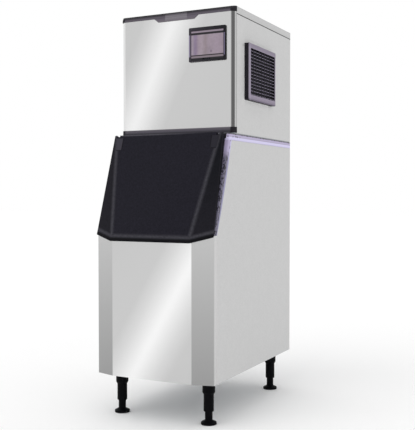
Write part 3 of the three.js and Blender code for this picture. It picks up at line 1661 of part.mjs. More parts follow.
add('window_cover', windowCover(), smoked);
add('control_panel', controlPanel(), grey);
add('control_box', controlBoxShell(), galvanised);
add('start_button', pushButton(buttonPlaces.start), buttonGreen);
add('clean_button', pushButton(buttonPlaces.clean), buttonBlue);
add('power_rocker', powerRocker(), legBlack);
add('intake_grille', intakeGrille(), grilleBlack);
add('air_filter', airFilter(), grilleBlack);
add('bulkhead', bulkhead(), galvanised);
add('evaporator_plates', evaporatorPlates(), steel);
add('evaporator_coil', evaporatorCoil(), copper);
add('water_distributor', waterDistributor(), white);
add('water_tank', waterTank(), white);
add('ice_chute', iceChute(), white);
add('water_pump', waterPump(), capBlack);
add('float', levelFloat(), white);
add('inlet_valve', inletValve(), white);
add('bin_paddle', binPaddle(), galvanised);
add('compressor', hermeticCompressor(), compressorBlack);
add('condenser', finCondenser(), galvanised);
add('fan_shroud', fanShroud(), galvanised);
add('fan_motor', fanMotor(), compressorBlack);
add('fan_blade', fanBlade(), grey);
add('cord_gland', cordGland(), rubber);

// The origin is the middle of the footprint, at the floor
const lipEnd = doorPoint(hoodFace + hood.lip, -hood.lipSetBack);
machine.position.set((trim.proud - grille.standOut) / 2, -(lipEnd[0] + fittingReach) / 2, 0);
machine.updateMatrixWorld(true);

export default machine;
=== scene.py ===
import json
import math
import bmesh
import bpy
from mathutils import Matrix, Vector


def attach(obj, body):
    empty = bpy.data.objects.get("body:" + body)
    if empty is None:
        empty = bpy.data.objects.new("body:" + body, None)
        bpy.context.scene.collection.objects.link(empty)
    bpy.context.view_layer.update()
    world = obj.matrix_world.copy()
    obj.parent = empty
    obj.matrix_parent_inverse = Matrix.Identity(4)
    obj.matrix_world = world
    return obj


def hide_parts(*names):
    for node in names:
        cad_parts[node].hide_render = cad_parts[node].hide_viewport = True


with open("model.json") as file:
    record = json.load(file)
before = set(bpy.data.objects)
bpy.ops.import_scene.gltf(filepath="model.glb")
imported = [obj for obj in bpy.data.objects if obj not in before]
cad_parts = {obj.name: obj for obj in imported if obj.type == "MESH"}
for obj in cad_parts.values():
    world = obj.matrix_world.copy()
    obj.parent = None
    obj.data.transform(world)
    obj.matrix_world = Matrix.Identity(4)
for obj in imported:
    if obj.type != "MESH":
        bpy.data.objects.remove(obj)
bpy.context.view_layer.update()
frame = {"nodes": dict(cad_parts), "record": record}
record = frame["record"]
nodeSlot = {part["node"]: part["material_slot"] for part in record["subparts"]}
nodeBody = {node: body for body, nodes in record["behaviour"]["bodies"].items() for node in nodes}

# Sizes are in millimetres as drawn; the cabinet's back is Y = 0 and its middle X = 0
mm = 0.001
perMetre = 1000
origin = (-0.00885, 0.435528, 0)
drawn = Matrix.Translation(origin) @ Matrix.Scale(mm, 4)
# The door is drawn lying, its top edge along X and its front facing up
door = {"topEdge": (0, -740, 1215), "tilt": math.radians(71)}
doorDrawn = drawn @ Matrix.Translation(door["topEdge"]) @ Matrix.Rotation(door["tilt"], 4, "X")
# The hood's sloped underside and the cut of the bin's front sheet lie in one plane
underside = {"y": -895.06, "z": 756.46, "tilt": math.radians(35)}


# A colour of 0 to 255 a channel, turned into linear light
def ink(red, green, blue):
    channels = [channel / 255 for channel in (red, green, blue)]
    return tuple(c / 12.92 if c <= 0.04045 else ((c + 0.055) / 1.055) ** 2.4 for c in channels) + (1.0,)


def grey(level):
    return ink(level, level, level)


# Stops of a ramp: a place, then its ink or grey
def inks(*stops):
    return [(at, ink(*channels)) for at, *channels in stops]


def greys(*stops):
    return [(at, grey(level)) for at, level in stops]


class Value:
    def __init__(self, nodes, socket):
        self.nodes = nodes
        self.socket = socket

    def __add__(self, other):
        return self.nodes.maths("ADD", self, other)

    def __radd__(self, other):
        return self.nodes.maths("ADD", other, self)

    def __sub__(self, other):
        return self.nodes.maths("SUBTRACT", self, other)

    def __rsub__(self, other):
        return self.nodes.maths("SUBTRACT", other, self)

    def __mul__(self, other):
        return self.nodes.maths("MULTIPLY", self, other)

    def __rmul__(self, other):
        return self.nodes.maths("MULTIPLY", other, self)

    def __truediv__(self, other):
        return self.nodes.maths("DIVIDE", self, other)

    def __rtruediv__(self, other):
        return self.nodes.maths("DIVIDE", other, self)

    def __abs__(self):
        return self.nodes.maths("ABSOLUTE", self)

    def __gt__(self, other):
        return self.nodes.maths("GREATER_THAN", self, other)

    def __lt__(self, other):
        return self.nodes.maths("LESS_THAN", self, other)


class Nodes:
    def __init__(self, tree):
        self.tree = tree

    def feed(self, value, socket):
        if isinstance(value, Value):
            self.tree.links.new(value.socket, socket)
        else:
            socket.default_value = value

    def node(self, kind, settings={}, values=(), output=0):
        made = self.tree.nodes.new(kind)
        for key, value in settings.items():
            if key == "stops":
                stops = made.color_ramp.elements
                stops.remove(stops[1])
                stops[0].position = value[0][0]
                stops[0].color = value[0][1]
                for at, colour in value[1:]:
                    stops.new(at).color = colour
            else:
                setattr(made, key, value)
        pairs = values.items() if isinstance(values, dict) else enumerate(values)
        for key, value in pairs:
            self.feed(value, made.inputs[key])
        return Value(self, made.outputs[output])

    def maths(self, operation, *values):
        return self.node("ShaderNodeMath", {"operation": operation}, values)

    def greater(self, first, second):
        return self.maths("MAXIMUM", first, second)

    def mix(self, factor, first, second, blend="MIX"):
        settings = {"data_type": "RGBA", "blend_type": blend}
        return self.node("ShaderNodeMix", settings, {0: factor, 6: first, 7: second}, 2)

    # A colour along a value, given at places in that value's own unit
    def ramp(self, value, stops):
        low = stops[0][0]
        reach = stops[-1][0] - low
        shares = [((at - low) / reach, colour) for at, colour in stops]
        return self.node("ShaderNodeValToRGB", {"stops": shares}, [(value - low) / reach])

    # 1 at a place, 0 from a reach on both sides of it
    def band(self, value, at, reach):
        return self.greater(1 - abs(value - at) / reach, 0)

    # 0 below, 1 above, and eased between them
    def smooth(self, value, low, high):
        settings = {"interpolation_type": "SMOOTHSTEP"}
        return self.node("ShaderNodeMapRange", settings, [value, low, high, 0.0, 1.0])

    # Where a point lies as drawn, in millimetres
    def place(self, matrix=drawn):
        back = matrix.inverted()
        vector = self.node("ShaderNodeMapping", {}, {
            "Vector": self.node("ShaderNodeTexCoord", output="Object"),
            "Location": back.translation,
            "Rotation": back.to_euler(),
            "Scale": (perMetre, perMetre, perMetre),
        })
        split = self.tree.nodes.new("ShaderNodeSeparateXYZ")
        self.feed(vector, split.inputs[0])
        return [Value(self, socket) for socket in split.outputs]

    # Noise with its mean taken off, about -0.5 to 0.5; size is that of its grains in millimetres
    def grain(self, size, detail=2.0):
        vector = self.node("ShaderNodeTexCoord", output="Object")
        values = {"Vector": vector, "Scale": perMetre / size, "Detail": detail}
        return self.node("ShaderNodeTexNoise", {}, values) - 0.5


class Finish(Nodes):
    def __init__(self, name, colour, roughness=0.5, metallic=0.0, **constants):
        self.material = bpy.data.materials.new(name)
        self.material.use_nodes = True
        super().__init__(self.material.node_tree)
        self.shader = self.tree.nodes["Principled BSDF"]
        self.set("Base Color", colour)
        self.set("Roughness", roughness)
        self.set("Metallic", metallic)
        for socket, value in constants.items():
            self.set(socket.replace("_", " "), value)

    def set(self, socket, value):
        self.feed(value, self.shader.inputs[socket])

    # Colour that varies a little with fine grain
    def speckled(self, colour, grain, amount):
        tone = 1 + grain * amount
        return self.mix(1.0, colour, self.node("ShaderNodeCombineColor", {}, [tone, tone, tone]), "MULTIPLY")

    # A painted sheen: soft light painted along a leaning line on an upright sheet
    def sheen(self, x, z, shape):
        ridge = (z - shape["height"]) * shape["lean"] + shape["across"]
        return self.ramp(abs(x - ridge), shape["tones"])

    def bump(self, height, strength, distance):
        self.set("Normal", self.node("ShaderNodeBump", {}, {
            "Strength": strength, "Distance": distance * mm, "Height": height}))


print("finishes")

steel = {"tone": grey(200), "brushing": 2.2, "detail": 3.0, "speckle": 0.05, "uneven": 0.08}


def steelFinish(name, paint, roughness=0.25):
    finish = Finish(name, steel["tone"], roughness, 1.0)
    grain = finish.grain(steel["brushing"], steel["detail"])
    finish.set("Base Color", finish.speckled(paint(finish), grain, steel["speckle"]))
    finish.set("Roughness", roughness + grain * steel["uneven"])
    return finish


headPaint = {
    # A painted sheen: the front is lighter towards a leaning line
    "sheen": {"height": 1696.5, "lean": 0.445, "across": -20.7, "tones": greys(
        (0, 240), (16, 238), (60, 227), (110, 212), (160, 201), (400, 199))},
    # The left rolled corner is painted an even lighter tone, as light
    "corner": {"x": 260, "y": -637.7, "from": 260.5, "left": grey(226)},
    # Painted reflection: tones by the angle through which the right rolled corner has turned, darkest midway
    # round
    "turned": greys(
        (0, 199), (6, 195), (12.5, 140), (18, 100), (48.5, 96), (54.5, 120), (61.5, 188), (90, 197)),
    "joint": {"from": -641.5, "to": -639.5, "tone": grey(150)},
}


def headFrontPaint(finish):
    x, y, z = finish.place()
    corner, joint = headPaint["corner"], headPaint["joint"]
    # The rolled corners carry painted reflection: a dark band round the right, a lighter tone on the left
    turn = finish.maths("ARCTAN2", abs(x) - corner["x"], corner["y"] - y) * math.degrees(1)
    cornerReflection = finish.ramp(turn, headPaint["turned"])
    cornerReflection = finish.mix(x < 0, cornerReflection, corner["left"])
    cornerReflection = finish.mix(finish.smooth(y, joint["from"], joint["to"]), cornerReflection, joint["tone"])
    return finish.mix(abs(x) > corner["from"], finish.sheen(x, z, headPaint["sheen"]), cornerReflection)


binPaint = {
    # A painted sheen: the front is lighter towards a leaning line
    "sheen": {"height": 683.5, "lean": 0.586, "across": 195.5, "tones": greys(
        (0, 245), (16, 243), (60, 230), (110, 215), (170, 201), (500, 198))},
    # The chamfer strips are painted darker than the front as shade, darkest at the bottom
    "chamfer": {"from": 188.4, "to": 191.0, "tones": greys((184, 156), (460, 172), (740, 189), (790, 192))},
    "side": {"from": -851.5, "to": -848.5, "tone": grey(200)},
}


def binFrontPaint(finish):
    x, y, z = finish.place()
    chamfer, side = binPaint["chamfer"], binPaint["side"]
    # Painted shade on the chamfers
    chamferShade = finish.ramp(z, chamfer["tones"])
    turned = finish.mix(finish.smooth(y, side["from"], side["to"]), chamferShade, side["tone"])
    sheen = finish.sheen(x, z, binPaint["sheen"])
    return finish.mix(finish.smooth(abs(x), chamfer["from"], chamfer["to"]), sheen, turned)


# The sides and the lid are a matte sheet
matte = {
    "tone": grey(203), "roughness": 0.5, "metallic": 0.2, "level": 0.15,
    "cloud": (26, 3.0), "cloudShare": 0.4, "fleck": (8, 2.0), "amount": 0.16,
    "grain": 2.2, "uneven": 0.1,
}


def matteFinish(name, paint):
    finish = Finish(name, matte["tone"], matte["roughness"], matte["metallic"],
                    Specular_IOR_Level=matte["level"])
    cloud = finish.grain(*matte["cloud"]) * matte["cloudShare"] + finish.grain(*matte["fleck"])
    finish.set("Base Color", finish.speckled(paint(finish), cloud, matte["amount"]))
    finish.set("Roughness", matte["roughness"] + finish.grain(matte["grain"]) * matte["uneven"])
    return finish


sidePaint = {
    # A dark joint behind the head's rolled corner
    "joint": {"y": -636.2, "reach": 1.6, "above": 1215, "tone": grey(150)},
    # Where the grille's frame shades the sheet, which is painted lighter there to offset that shade, and how
    # fast that light fades past its ends
    "shaded": {"front": -556, "back": -290, "bottom": 1365, "top": 1590, "fade": 2},
    "lighter": greys((0, 246), (8, 238), (18, 219), (30, 211), (50, 207), (75, 203)),
}


def paintSide(finish):
    x, y, z = finish.place()
    joint, shaded = sidePaint["joint"], sidePaint["shaded"]
    # Painted light: the sheet is lighter near the grille, fading away from it
    inFront = finish.greater(shaded["front"] - y, 0)
    past = [shaded["bottom"] - z, z - shaded["top"], y - shaded["back"]]
    near = inFront + sum(finish.greater(distance, 0) for distance in past) * shaded["fade"]
    colour = finish.mix((near > 0) * (x > 0), matte["tone"], finish.ramp(near, sidePaint["lighter"]))
    inJoint = finish.band(y, joint["y"], joint["reach"]) * (z > joint["above"])
    return finish.mix(inJoint, colour, joint["tone"])


# Up the lid's edge: the dark joint under it, its side and the bend to its top
lidTones = greys((1717.4, 42), (1720, 52), (1722, 196), (1744, 199), (1749, 192), (1751, 204))


def paintLid(finish):
    x, y, z = finish.place()
    return finish.ramp(z, lidTones)


plastic = {"detail": 2.0, "speckle": 0.12, "uneven": 0.15, "bump": 0.5}


# Pebble and depth are the size and the height of its pebbles, level is its gloss
def plasticFinish(name, colour, pebble=1.2, roughness=0.5, depth=0.06, level=0.12, paint=None):
    finish = Finish(name, colour, roughness, 0.0, Specular_IOR_Level=level)
    grain = finish.grain(pebble, plastic["detail"])
    finish.set("Base Color", paint(finish) if paint else finish.speckled(colour, grain, plastic["speckle"]))
    finish.set("Roughness", roughness + grain * plastic["uneven"])
    finish.bump(grain, plastic["bump"], depth)
    return finish


hoodPaint = {
    "front": ink(29, 28, 36),
    # The ridges lean from half widths at the top to those at the bottom of the front
    "ridge": {"top": 255.3, "bottom": 188.6, "face": 459.3, "at": -3.0, "reach": 13.0},
    # The facets begin at the ridges and are painted darker than the front as shade; the right one is painted
    # darker still towards the hinge
    "facet": {"from": -1.0, "to": 2.0, "tone": ink(27, 26, 32)},
    "byHinge": {"from": -420, "to": -60, "tone": ink(17, 18, 23)},
    # Heights above the sloped underside: the lip below is painted dark as shade, the line above it is a painted
    # highlight
    "lip": {"from": 15, "to": 12, "tone": ink(11, 11, 15)},
    "line": {"at": 17.5, "reach": 7.5, "depth": -34},
    # The tone of the painted highlights, and the painted highlight along the top edge
    "lit": ink(60, 59, 65),
    "topEdge": {"at": -1.5, "reach": 5.0, "from": 250, "to": -100, "tone": ink(78, 76, 83)},
    "pebbles": ((8, 3.0), (3.5, 2.0)), "amount": 0.9,
}


def paintHood(finish):
    x, y, z = finish.place(doorDrawn)
    ridge, facet, byHinge = hoodPaint["ridge"], hoodPaint["facet"], hoodPaint["byHinge"]
    lip, line, topEdge = hoodPaint["lip"], hoodPaint["line"], hoodPaint["topEdge"]
    beyond = abs(x) - (y * ((ridge["top"] - ridge["bottom"]) / ridge["face"]) + ridge["top"])
    across, behind, height = finish.place()
    tilt = underside["tilt"]
    rise = (height - underside["z"]) * math.cos(tilt) - (behind - underside["y"]) * math.sin(tilt)
    # Painted shade: darker facets, darker still towards the hinge on the right, and a dark lip
    hingeShade = finish.smooth(y, byHinge["from"], byHinge["to"]) * (x > 0)
    facetShade = finish.mix(hingeShade, facet["tone"], byHinge["tone"])
    colour = finish.mix(finish.smooth(beyond, facet["from"], facet["to"]), hoodPaint["front"], facetShade)
    colour = finish.mix(finish.smooth(rise, lip["from"], lip["to"]), colour, lip["tone"])
    # Painted highlights on the moulded edges: the ridges, the line above the lip and the top
    lipHighlight = finish.band(rise, line["at"], line["reach"]) * (z > line["depth"])
    ridgeHighlights = finish.band(beyond, ridge["at"], ridge["reach"]) * (rise > lip["from"])
    colour = finish.mix(finish.greater(ridgeHighlights, lipHighlight), colour, hoodPaint["lit"])
    along = finish.band(y, topEdge["at"], topEdge["reach"]) * finish.smooth(x, topEdge["from"], topEdge["to"])
    colour = finish.mix(along, colour, topEdge["tone"])
    pebbles = sum(finish.grain(*pebble) for pebble in hoodPaint["pebbles"])
    return finish.speckled(colour, pebbles, hoodPaint["amount"])


capPaint = {
    # The right cap is painted lighter than the left, as light
    "left": ink(38, 37, 44), "right": ink(58, 56, 64),
    # Its inner and lower edges are painted dark, as shadow
    "inner": 215, "lower": -72, "reach": 4.5, "shadow": ink(12, 11, 15),
}


def paintCap(finish):
    x, y, z = finish.place(doorDrawn)
    # Painted light and shadow: the right cap lighter, the inner and lower edges dark
    reach = capPaint["reach"]
    inner = finish.band(abs(x), capPaint["inner"], reach)
    shadow = finish.greater(inner, finish.band(y, capPaint["lower"], reach))
    return finish.mix(shadow, finish.mix(x > 0, capPaint["right"], capPaint["left"]), capPaint["shadow"])


rimPaint = {
    "tone": ink(190, 180, 215), "mouth": ink(188, 181, 212), "dark": ink(30, 29, 35), "spot": ink(26, 24, 31),
    # The slope's front edge, and how far it leans back for each millimetre of height
    "edge": {"z": 1215, "y": -704.15, "lean": 0.3443},
    # Its outer side is lilac above and painted darker below as shade, with a painted highlight along the side
    # panel that is darker lower down
    "upper": {"from": 1100, "to": 1145, "tone": ink(180, 170, 202), "below": ink(112, 108, 128)},
    "light": {"from": 16, "to": 24, "tones": inks(
        (740, 150, 149, 185), (1080, 158, 155, 188), (1150, 208, 203, 236))},
    # Bands up the rail, painted dark at its top as shade under the base trim
    "rail": {"above": 1182.8, "tones": inks(
        (1183, 200, 194, 228), (1188, 214, 208, 240), (1195, 216, 211, 244), (1197, 176, 168, 196),
        (1200, 178, 169, 196), (1203, 188, 178, 210), (1206.5, 180, 171, 200), (1209, 126, 122, 134),
        (1212, 96, 92, 104))},
    # Dark speckles lie along the door's edge below, where they are painted shadow, beside the painted highlight
    # above, and along the rail's joints
    "freckled": {"from": 22, "to": 10, "beside": 19, "reach": 6, "below": 1183},
    "joint": {"from": 1204, "to": 1210, "at": 1198.5, "reach": 5, "front": -600},
    "spots": {"coarse": (17, 2.0), "fine": (8, 2.0), "fineShare": 0.6, "to": 0.06, "share": 0.85},
    "outer": 250,
    # The hinge's slot, and what lies in front of the edge, are painted dark as shade
    "slot": {"inner": 225, "outer": 266, "behind": 12, "above": 1190},
    "front": {"behind": -0.5, "above": 1160},
    "grain": 1.4, "amount": 0.08,
}


def rimFinish():
    finish = Finish("rimLilac", rimPaint["tone"], roughness=0.45, Specular_IOR_Level=0.2)
    x, y, z = finish.place()
    edge, upper, light, rail = [rimPaint[part] for part in ("edge", "upper", "light", "rail")]
    freckled, joint, spots = [rimPaint[part] for part in ("freckled", "joint", "spots")]
    slot, front = rimPaint["slot"], rimPaint["front"]
    behind = y + (edge["z"] - z) * edge["lean"] - edge["y"]
    # Painted shade on the lower outer side, and a painted highlight along the side panel
    high = finish.smooth(z, upper["from"], upper["to"])
    shade = finish.mix(high, upper["below"], upper["tone"])
    inLight = finish.smooth(behind, light["from"], light["to"])
    slope = finish.mix(inLight, shade, finish.ramp(z, light["tones"]))
    colour = finish.mix(z > rail["above"], slope, finish.ramp(z, rail["tones"]))
    # Where dark speckles lie: as painted shadow along the door's edge, beside the highlight and along the
    # joints
    beside = finish.band(behind, freckled["beside"], freckled["reach"]) * high
    edges = finish.greater(finish.smooth(behind, freckled["from"], freckled["to"]) * (1 - high), beside)
    seam = finish.band(z, joint["at"], joint["reach"]) * (y < joint["front"])
    joints = finish.greater(finish.smooth(z, joint["from"], joint["to"]), seam)
    outer = abs(x) > rimPaint["outer"]
    places = finish.greater(edges * (z < freckled["below"]), joints) * outer
    noise = finish.grain(*spots["coarse"]) + finish.grain(*spots["fine"]) * spots["fineShare"]
    colour = finish.mix(outer, rimPaint["mouth"], colour)
    darkSpeckles = finish.smooth(noise, 0.0, spots["to"]) * places * spots["share"]
    colour = finish.mix(darkSpeckles, colour, rimPaint["spot"])
    inSlot = (abs(x) > slot["inner"]) * (abs(x) < slot["outer"])
    inSlot = inSlot * (behind < slot["behind"]) * (z > slot["above"])
    # Painted shade in the hinge's slot and in front of the edge
    inShade = finish.greater((behind < front["behind"]) * (z > front["above"]), inSlot)
    colour = finish.mix(inShade, colour, rimPaint["dark"])
    finish.set("Base Color", finish.speckled(colour, finish.grain(rimPaint["grain"]), rimPaint["amount"]))
    return finish


coverPaint = {
    "tone": ink(149, 136, 145),
    # Across the glass its tones rise and fall in bands of painted reflection
    "glass": {"bottom": 1553.5, "top": 1638.5, "clouds": (24, 2.0), "flecks": (9, 2.0), "fleckShare": 0.5,
              "amount": 0.34, "tones": inks(
                  (77, 146, 134, 148), (84, 148, 136, 148), (94, 132, 117, 140), (102, 134, 119, 139),
                  (112, 150, 136, 147), (128, 152, 139, 149), (145, 139, 126, 133), (160, 147, 134, 145),
                  (205, 150, 136, 149), (229, 143, 129, 140))},
    "dimple": {"x": 172, "z": 1566, "reach": 7.0, "tone": ink(104, 90, 108)},
    # Bars across the top and bottom: a lilac line, a painted highlight on the cover's bevel, and a dark line on
    # each side of the glass
    "bars": inks(
        (1532, 20, 19, 23), (1540, 24, 22, 27), (1541, 124, 113, 121), (1548, 130, 118, 126),
        (1549, 44, 38, 42), (1553, 44, 38, 42), (1554, 140, 127, 136), (1638, 140, 127, 136),
        (1639.5, 26, 24, 29), (1647.5, 26, 24, 29), (1649, 150, 137, 150), (1657, 120, 108, 120)),
}


def coverFinish():
    finish = Finish("smokedCover", coverPaint["tone"], roughness=0.12, Specular_IOR_Level=0.3)
    x, y, z = finish.place()
    glass, dimple = coverPaint["glass"], coverPaint["dimple"]
    clouds = finish.grain(*glass["clouds"]) + finish.grain(*glass["flecks"]) * glass["fleckShare"]
    # Painted reflection in bands across the glass
    colour = finish.speckled(finish.ramp(x, glass["tones"]), clouds, glass["amount"])
    across, up = x - dimple["x"], z - dimple["z"]
    distance = finish.maths("SQRT", across * across + up * up)
    colour = finish.mix(finish.band(distance, 0.0, dimple["reach"]), colour, dimple["tone"])
    inGlass = (z > glass["bottom"]) * (z < glass["top"])
    finish.set("Base Color", finish.mix(inGlass, finish.ramp(z, coverPaint["bars"]), colour))
    return finish


bezelPaint = {
    "bar": inks((65, 52, 49, 56), (140, 38, 36, 42), (241, 20, 18, 24)),
    # Down the sides a lilac strip lies beside a dark line
    "left": inks((65.5, 140, 132, 156), (70, 128, 120, 142), (72, 80, 74, 84), (76.5, 70, 64, 74)),
    "right": inks(
        (230.5, 40, 37, 43), (232.6, 56, 52, 62), (233.4, 122, 114, 142), (235.6, 122, 114, 142),
        (236.6, 20, 18, 24), (241.5, 16, 15, 19)),
    "sides": {"bottom": 1546, "top": 1640, "front": -663, "middle": 150},
}


def paintBezel(finish):
    x, y, z = finish.place()
    sides = bezelPaint["sides"]
    left, right = finish.ramp(x, bezelPaint["left"]), finish.ramp(x, bezelPaint["right"])
    between = (z > sides["bottom"]) * (z < sides["top"]) * (y < sides["front"])
    strips = finish.mix(x > sides["middle"], left, right)
    return finish.mix(between, finish.ramp(x, bezelPaint["bar"]), strips)


grillePaint = {
    "tone": ink(20, 20, 24),
    "frame": inks(
        (1365, 120, 111, 128), (1368, 96, 88, 104), (1371, 138, 129, 146), (1386, 150, 141, 158),
        (1590, 150, 141, 158), (1596, 140, 131, 148), (1610, 136, 128, 144)),
    # A painted highlight along the frame's front edge
    "corner": {"y": -534.5, "reach": 3.0, "tone": ink(170, 162, 182)},
    "edge": {"from": 299.6, "tone": ink(33, 31, 37)},
    "opening": {"front": -533.2, "back": -253.8, "bottom": 1387.8, "top": 1590.2},
    # From the slats' depth, darker as painted shade, to their fronts lit by a painted highlight, and the dark
    # in front of those
    "slats": inks((285, 50, 48, 56), (295, 60, 57, 66), (297.0, 70, 66, 76), (297.6, 136, 129, 147)),
    "inFront": {"from": 298.2, "tone": ink(26, 25, 30)},
}


def grilleFinish():
    finish = Finish("grilleBlack", grillePaint["tone"], Specular_IOR_Level=0.1)
    x, y, z = finish.place()
    corner, edge, opening, inFront = [grillePaint[part] for part in ("corner", "edge", "opening", "inFront")]
    cornerHighlight = finish.band(y, corner["y"], corner["reach"])
    frameTone = finish.mix(cornerHighlight, finish.ramp(z, grillePaint["frame"]), corner["tone"])
    colour = finish.mix(x > edge["from"], edge["tone"], frameTone)
    inside = (y > opening["front"]) * (y < opening["back"]) * (z > opening["bottom"]) * (z < opening["top"])
    colour = finish.mix(inside, colour, finish.ramp(x, grillePaint["slats"]))
    finish.set("Base Color", finish.mix(inside * (x > inFront["from"]), colour, inFront["tone"]))
    return finish


zinc = {"tone": ink(165, 169, 172), "crystals": 70.0, "amount": 0.16, "roughness": 0.4, "uneven": 0.12}


def zincFinish():
    finish = Finish("galvanised", zinc["tone"], zinc["roughness"], 1.0)
    crystals = finish.node("ShaderNodeTexVoronoi", {}, {
        "Vector": finish.node("ShaderNodeTexCoord", output="Object"), "Scale": zinc["crystals"]}, "Color")
    level = finish.node("ShaderNodeSeparateColor", {}, [crystals])
    finish.set("Base Color", finish.speckled(zinc["tone"], level - 0.5, zinc["amount"]))
    finish.set("Roughness", zinc["roughness"] + level * zinc["uneven"])
    return finish


# By material slot
finishes = {
    "stainless": matteFinish("stainlessSide", paintSide),
    "galvanised": zincFinish(),
    "steel_part": steelFinish("steelPart", lambda finish: grey(190)),
    "copper": plasticFinish("copper", ink(196, 122, 88), pebble=6.0, roughness=0.28, depth=0.02, level=0.5),
    "aluminium": steelFinish("aluminium", lambda finish: grey(205), roughness=0.3),
    "compressor_black": plasticFinish(
        "compressorBlack", ink(24, 25, 28), pebble=3.0, roughness=0.35, depth=0.05, level=0.4),
    "door_black": plasticFinish(
        "doorBlack", hoodPaint["front"], pebble=1.6, depth=0.12, level=0.06, paint=paintHood),
    "cap_black": plasticFinish("capBlack", capPaint["left"], level=0.08, paint=paintCap),
    "trim_grey": plasticFinish("trimGrey", ink(100, 97, 104), pebble=1.0, depth=0.03),
    "rim_lilac": rimFinish(),
    "white_plastic": plasticFinish(
        "whitePlastic", ink(232, 233, 236), pebble=3.0, roughness=0.4, depth=0.03, level=0.4),
    "foam": plasticFinish("foam", ink(222, 208, 160), pebble=1.5, roughness=0.9, depth=0.5),
    "rubber": plasticFinish("rubber", ink(24, 24, 26), pebble=1.0, roughness=0.8),
    "leg_black": plasticFinish("legBlack", ink(9, 9, 12), pebble=1.5, roughness=0.45, depth=0.05, level=0.04),
    "bezel_black": plasticFinish(
        "bezelBlack", ink(40, 38, 44), pebble=1.0, roughness=0.35, depth=0.03, level=0.15, paint=paintBezel),
    "smoked_clear": coverFinish(),
    "grille_black": grilleFinish(),
    "grey_plastic": plasticFinish("greyPlastic", ink(138, 143, 148)),
    "button_green": plasticFinish(
        "buttonGreen", ink(47, 138, 74), pebble=1.0, roughness=0.4, depth=0.03, level=0.4),
    "button_blue": plasticFinish(
        "buttonBlue", ink(43, 95, 158), pebble=1.0, roughness=0.4, depth=0.03, level=0.4),
}
finishes["copper"].set("Metallic", 1.0)
headFrontSteel = steelFinish("headFrontSteel", headFrontPaint)
binFrontSteel = steelFinish("binFrontSteel", binFrontPaint)
lidSteel = matteFinish("lidSteel", paintLid)

trimPaint = {
    # The trims are painted darker round their rolled ends, as shade
    "ends": {"from": 258, "to": 264, "tone": ink(34, 32, 37)},
    "grain": 1.0, "amount": 0.08,
    "top": inks(
        (1711, 116, 112, 117), (1714, 104, 98, 106), (1726, 97, 91, 101), (1735, 84, 79, 87),
        (1739, 56, 53, 60), (1742, 36, 34, 39), (1750, 30, 29, 33)),
    # The bare plate in the middle of the top trim
    "plate": {"half": 52, "ease": 4, "z": 1727, "reach": 18, "tone": ink(126, 122, 128)},
    "base": inks(
        (1217, 58, 57, 62), (1222, 62, 61, 66), (1227, 67, 65, 71), (1230, 88, 85, 92), (1237, 98, 94, 101),
        (1241.5, 124, 120, 126)),
}


def trimFinish(name, tone, stops, plate=None):
    def paintTrim(finish):
        x, y, z = finish.place()
        ends = trimPaint["ends"]
        colour = finish.ramp(z, stops)
        if plate:
            onPlate = finish.smooth(abs(x), plate["half"] + plate["ease"], plate["half"])
            colour = finish.mix(onPlate * finish.band(z, plate["z"], plate["reach"]), colour, plate["tone"])
        # Painted shade round the rolled ends
        colour = finish.mix(finish.smooth(abs(x), ends["from"], ends["to"]), colour, ends["tone"])
        return finish.speckled(colour, finish.grain(trimPaint["grain"]), trimPaint["amount"])

    return plasticFinish(name, tone, pebble=1.0, depth=0.03, paint=paintTrim)


topTrimFinish = trimFinish("topTrimGrey", grey(100), trimPaint["top"], trimPaint["plate"])
baseTrimFinish = trimFinish("baseTrimGrey", grey(74), trimPaint["base"])

# How close points must lie to count as one, in a CAD node's metres or as drawn
touching = {"metres": 0.00001, "cut": 0.0001, "spun": 0.001, "corner": 0.1}
# Edges of a CAD node that turn by less, in degrees, are dissolved
flat = 1


def addObject(name, data):
    made = bpy.data.objects.new(name, data)
    bpy.context.scene.collection.objects.link(made)
    return made


def addMesh(name, mesh, finish):
    data = bpy.data.meshes.new(name)
    mesh.to_mesh(data)
    mesh.free()
    data.materials.append(finish.material)
    return addObject(name, data)


# Dresses the nodes with a mesh drawn in millimetres; a bevel is its width and its segments
def addPiece(name, mesh, nodes, finish=None, place=drawn, bevel=None, thickness=None, sharp=32):
    bmesh.ops.transform(mesh, matrix=place, verts=mesh.verts)
    for face in mesh.faces:
        face.smooth = True
    for edge in mesh.edges:
        edge.smooth = edge.is_manifold and edge.calc_face_angle() < math.radians(sharp)
    piece = addMesh(name, mesh, finish or finishes[nodeSlot[nodes[0]]])
    if thickness:
        solid = piece.modifiers.new("sheet", "SOLIDIFY")
        solid.thickness = thickness * mm
        solid.offset = -1.0
    if bevel:
        rounding = piece.modifiers.new("edges", "BEVEL")
        rounding.width = bevel[0] * mm
        rounding.segments = bevel[1]
        rounding.limit_method = "ANGLE"
        rounding.angle_limit = math.radians(sharp)
        rounding.harden_normals = True
    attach(piece, nodeBody[nodes[0]])
    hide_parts(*nodes)
    return piece


# A CAD node's mesh, merged, its flat faces made whole and its edges rounded
def softened(node, bevel, finish=None):
    mesh = bmesh.new()
    mesh.from_mesh(frame["nodes"][node].data)
    bmesh.ops.remove_doubles(mesh, verts=mesh.verts, dist=touching["metres"])
    bmesh.ops.dissolve_limit(mesh, angle_limit=math.radians(flat), verts=mesh.verts, edges=mesh.edges)
    bmesh.ops.recalc_face_normals(mesh, faces=mesh.faces)
    name = "".join(word.capitalize() for word in node.split("_"))
    addPiece("soft" + name, mesh, [node], finish, Matrix.Identity(4), bevel)


def madeVerts(made):
    return [item for item in made["geom"] if isinstance(item, bmesh.types.BMVert)]


def roundEdges(mesh, edges, radius, segments):
    bmesh.ops.bevel(mesh, geom=edges, offset=radius, offset_type="OFFSET", segments=segments, profile=0.5,
                    affect="EDGES", material=-1)


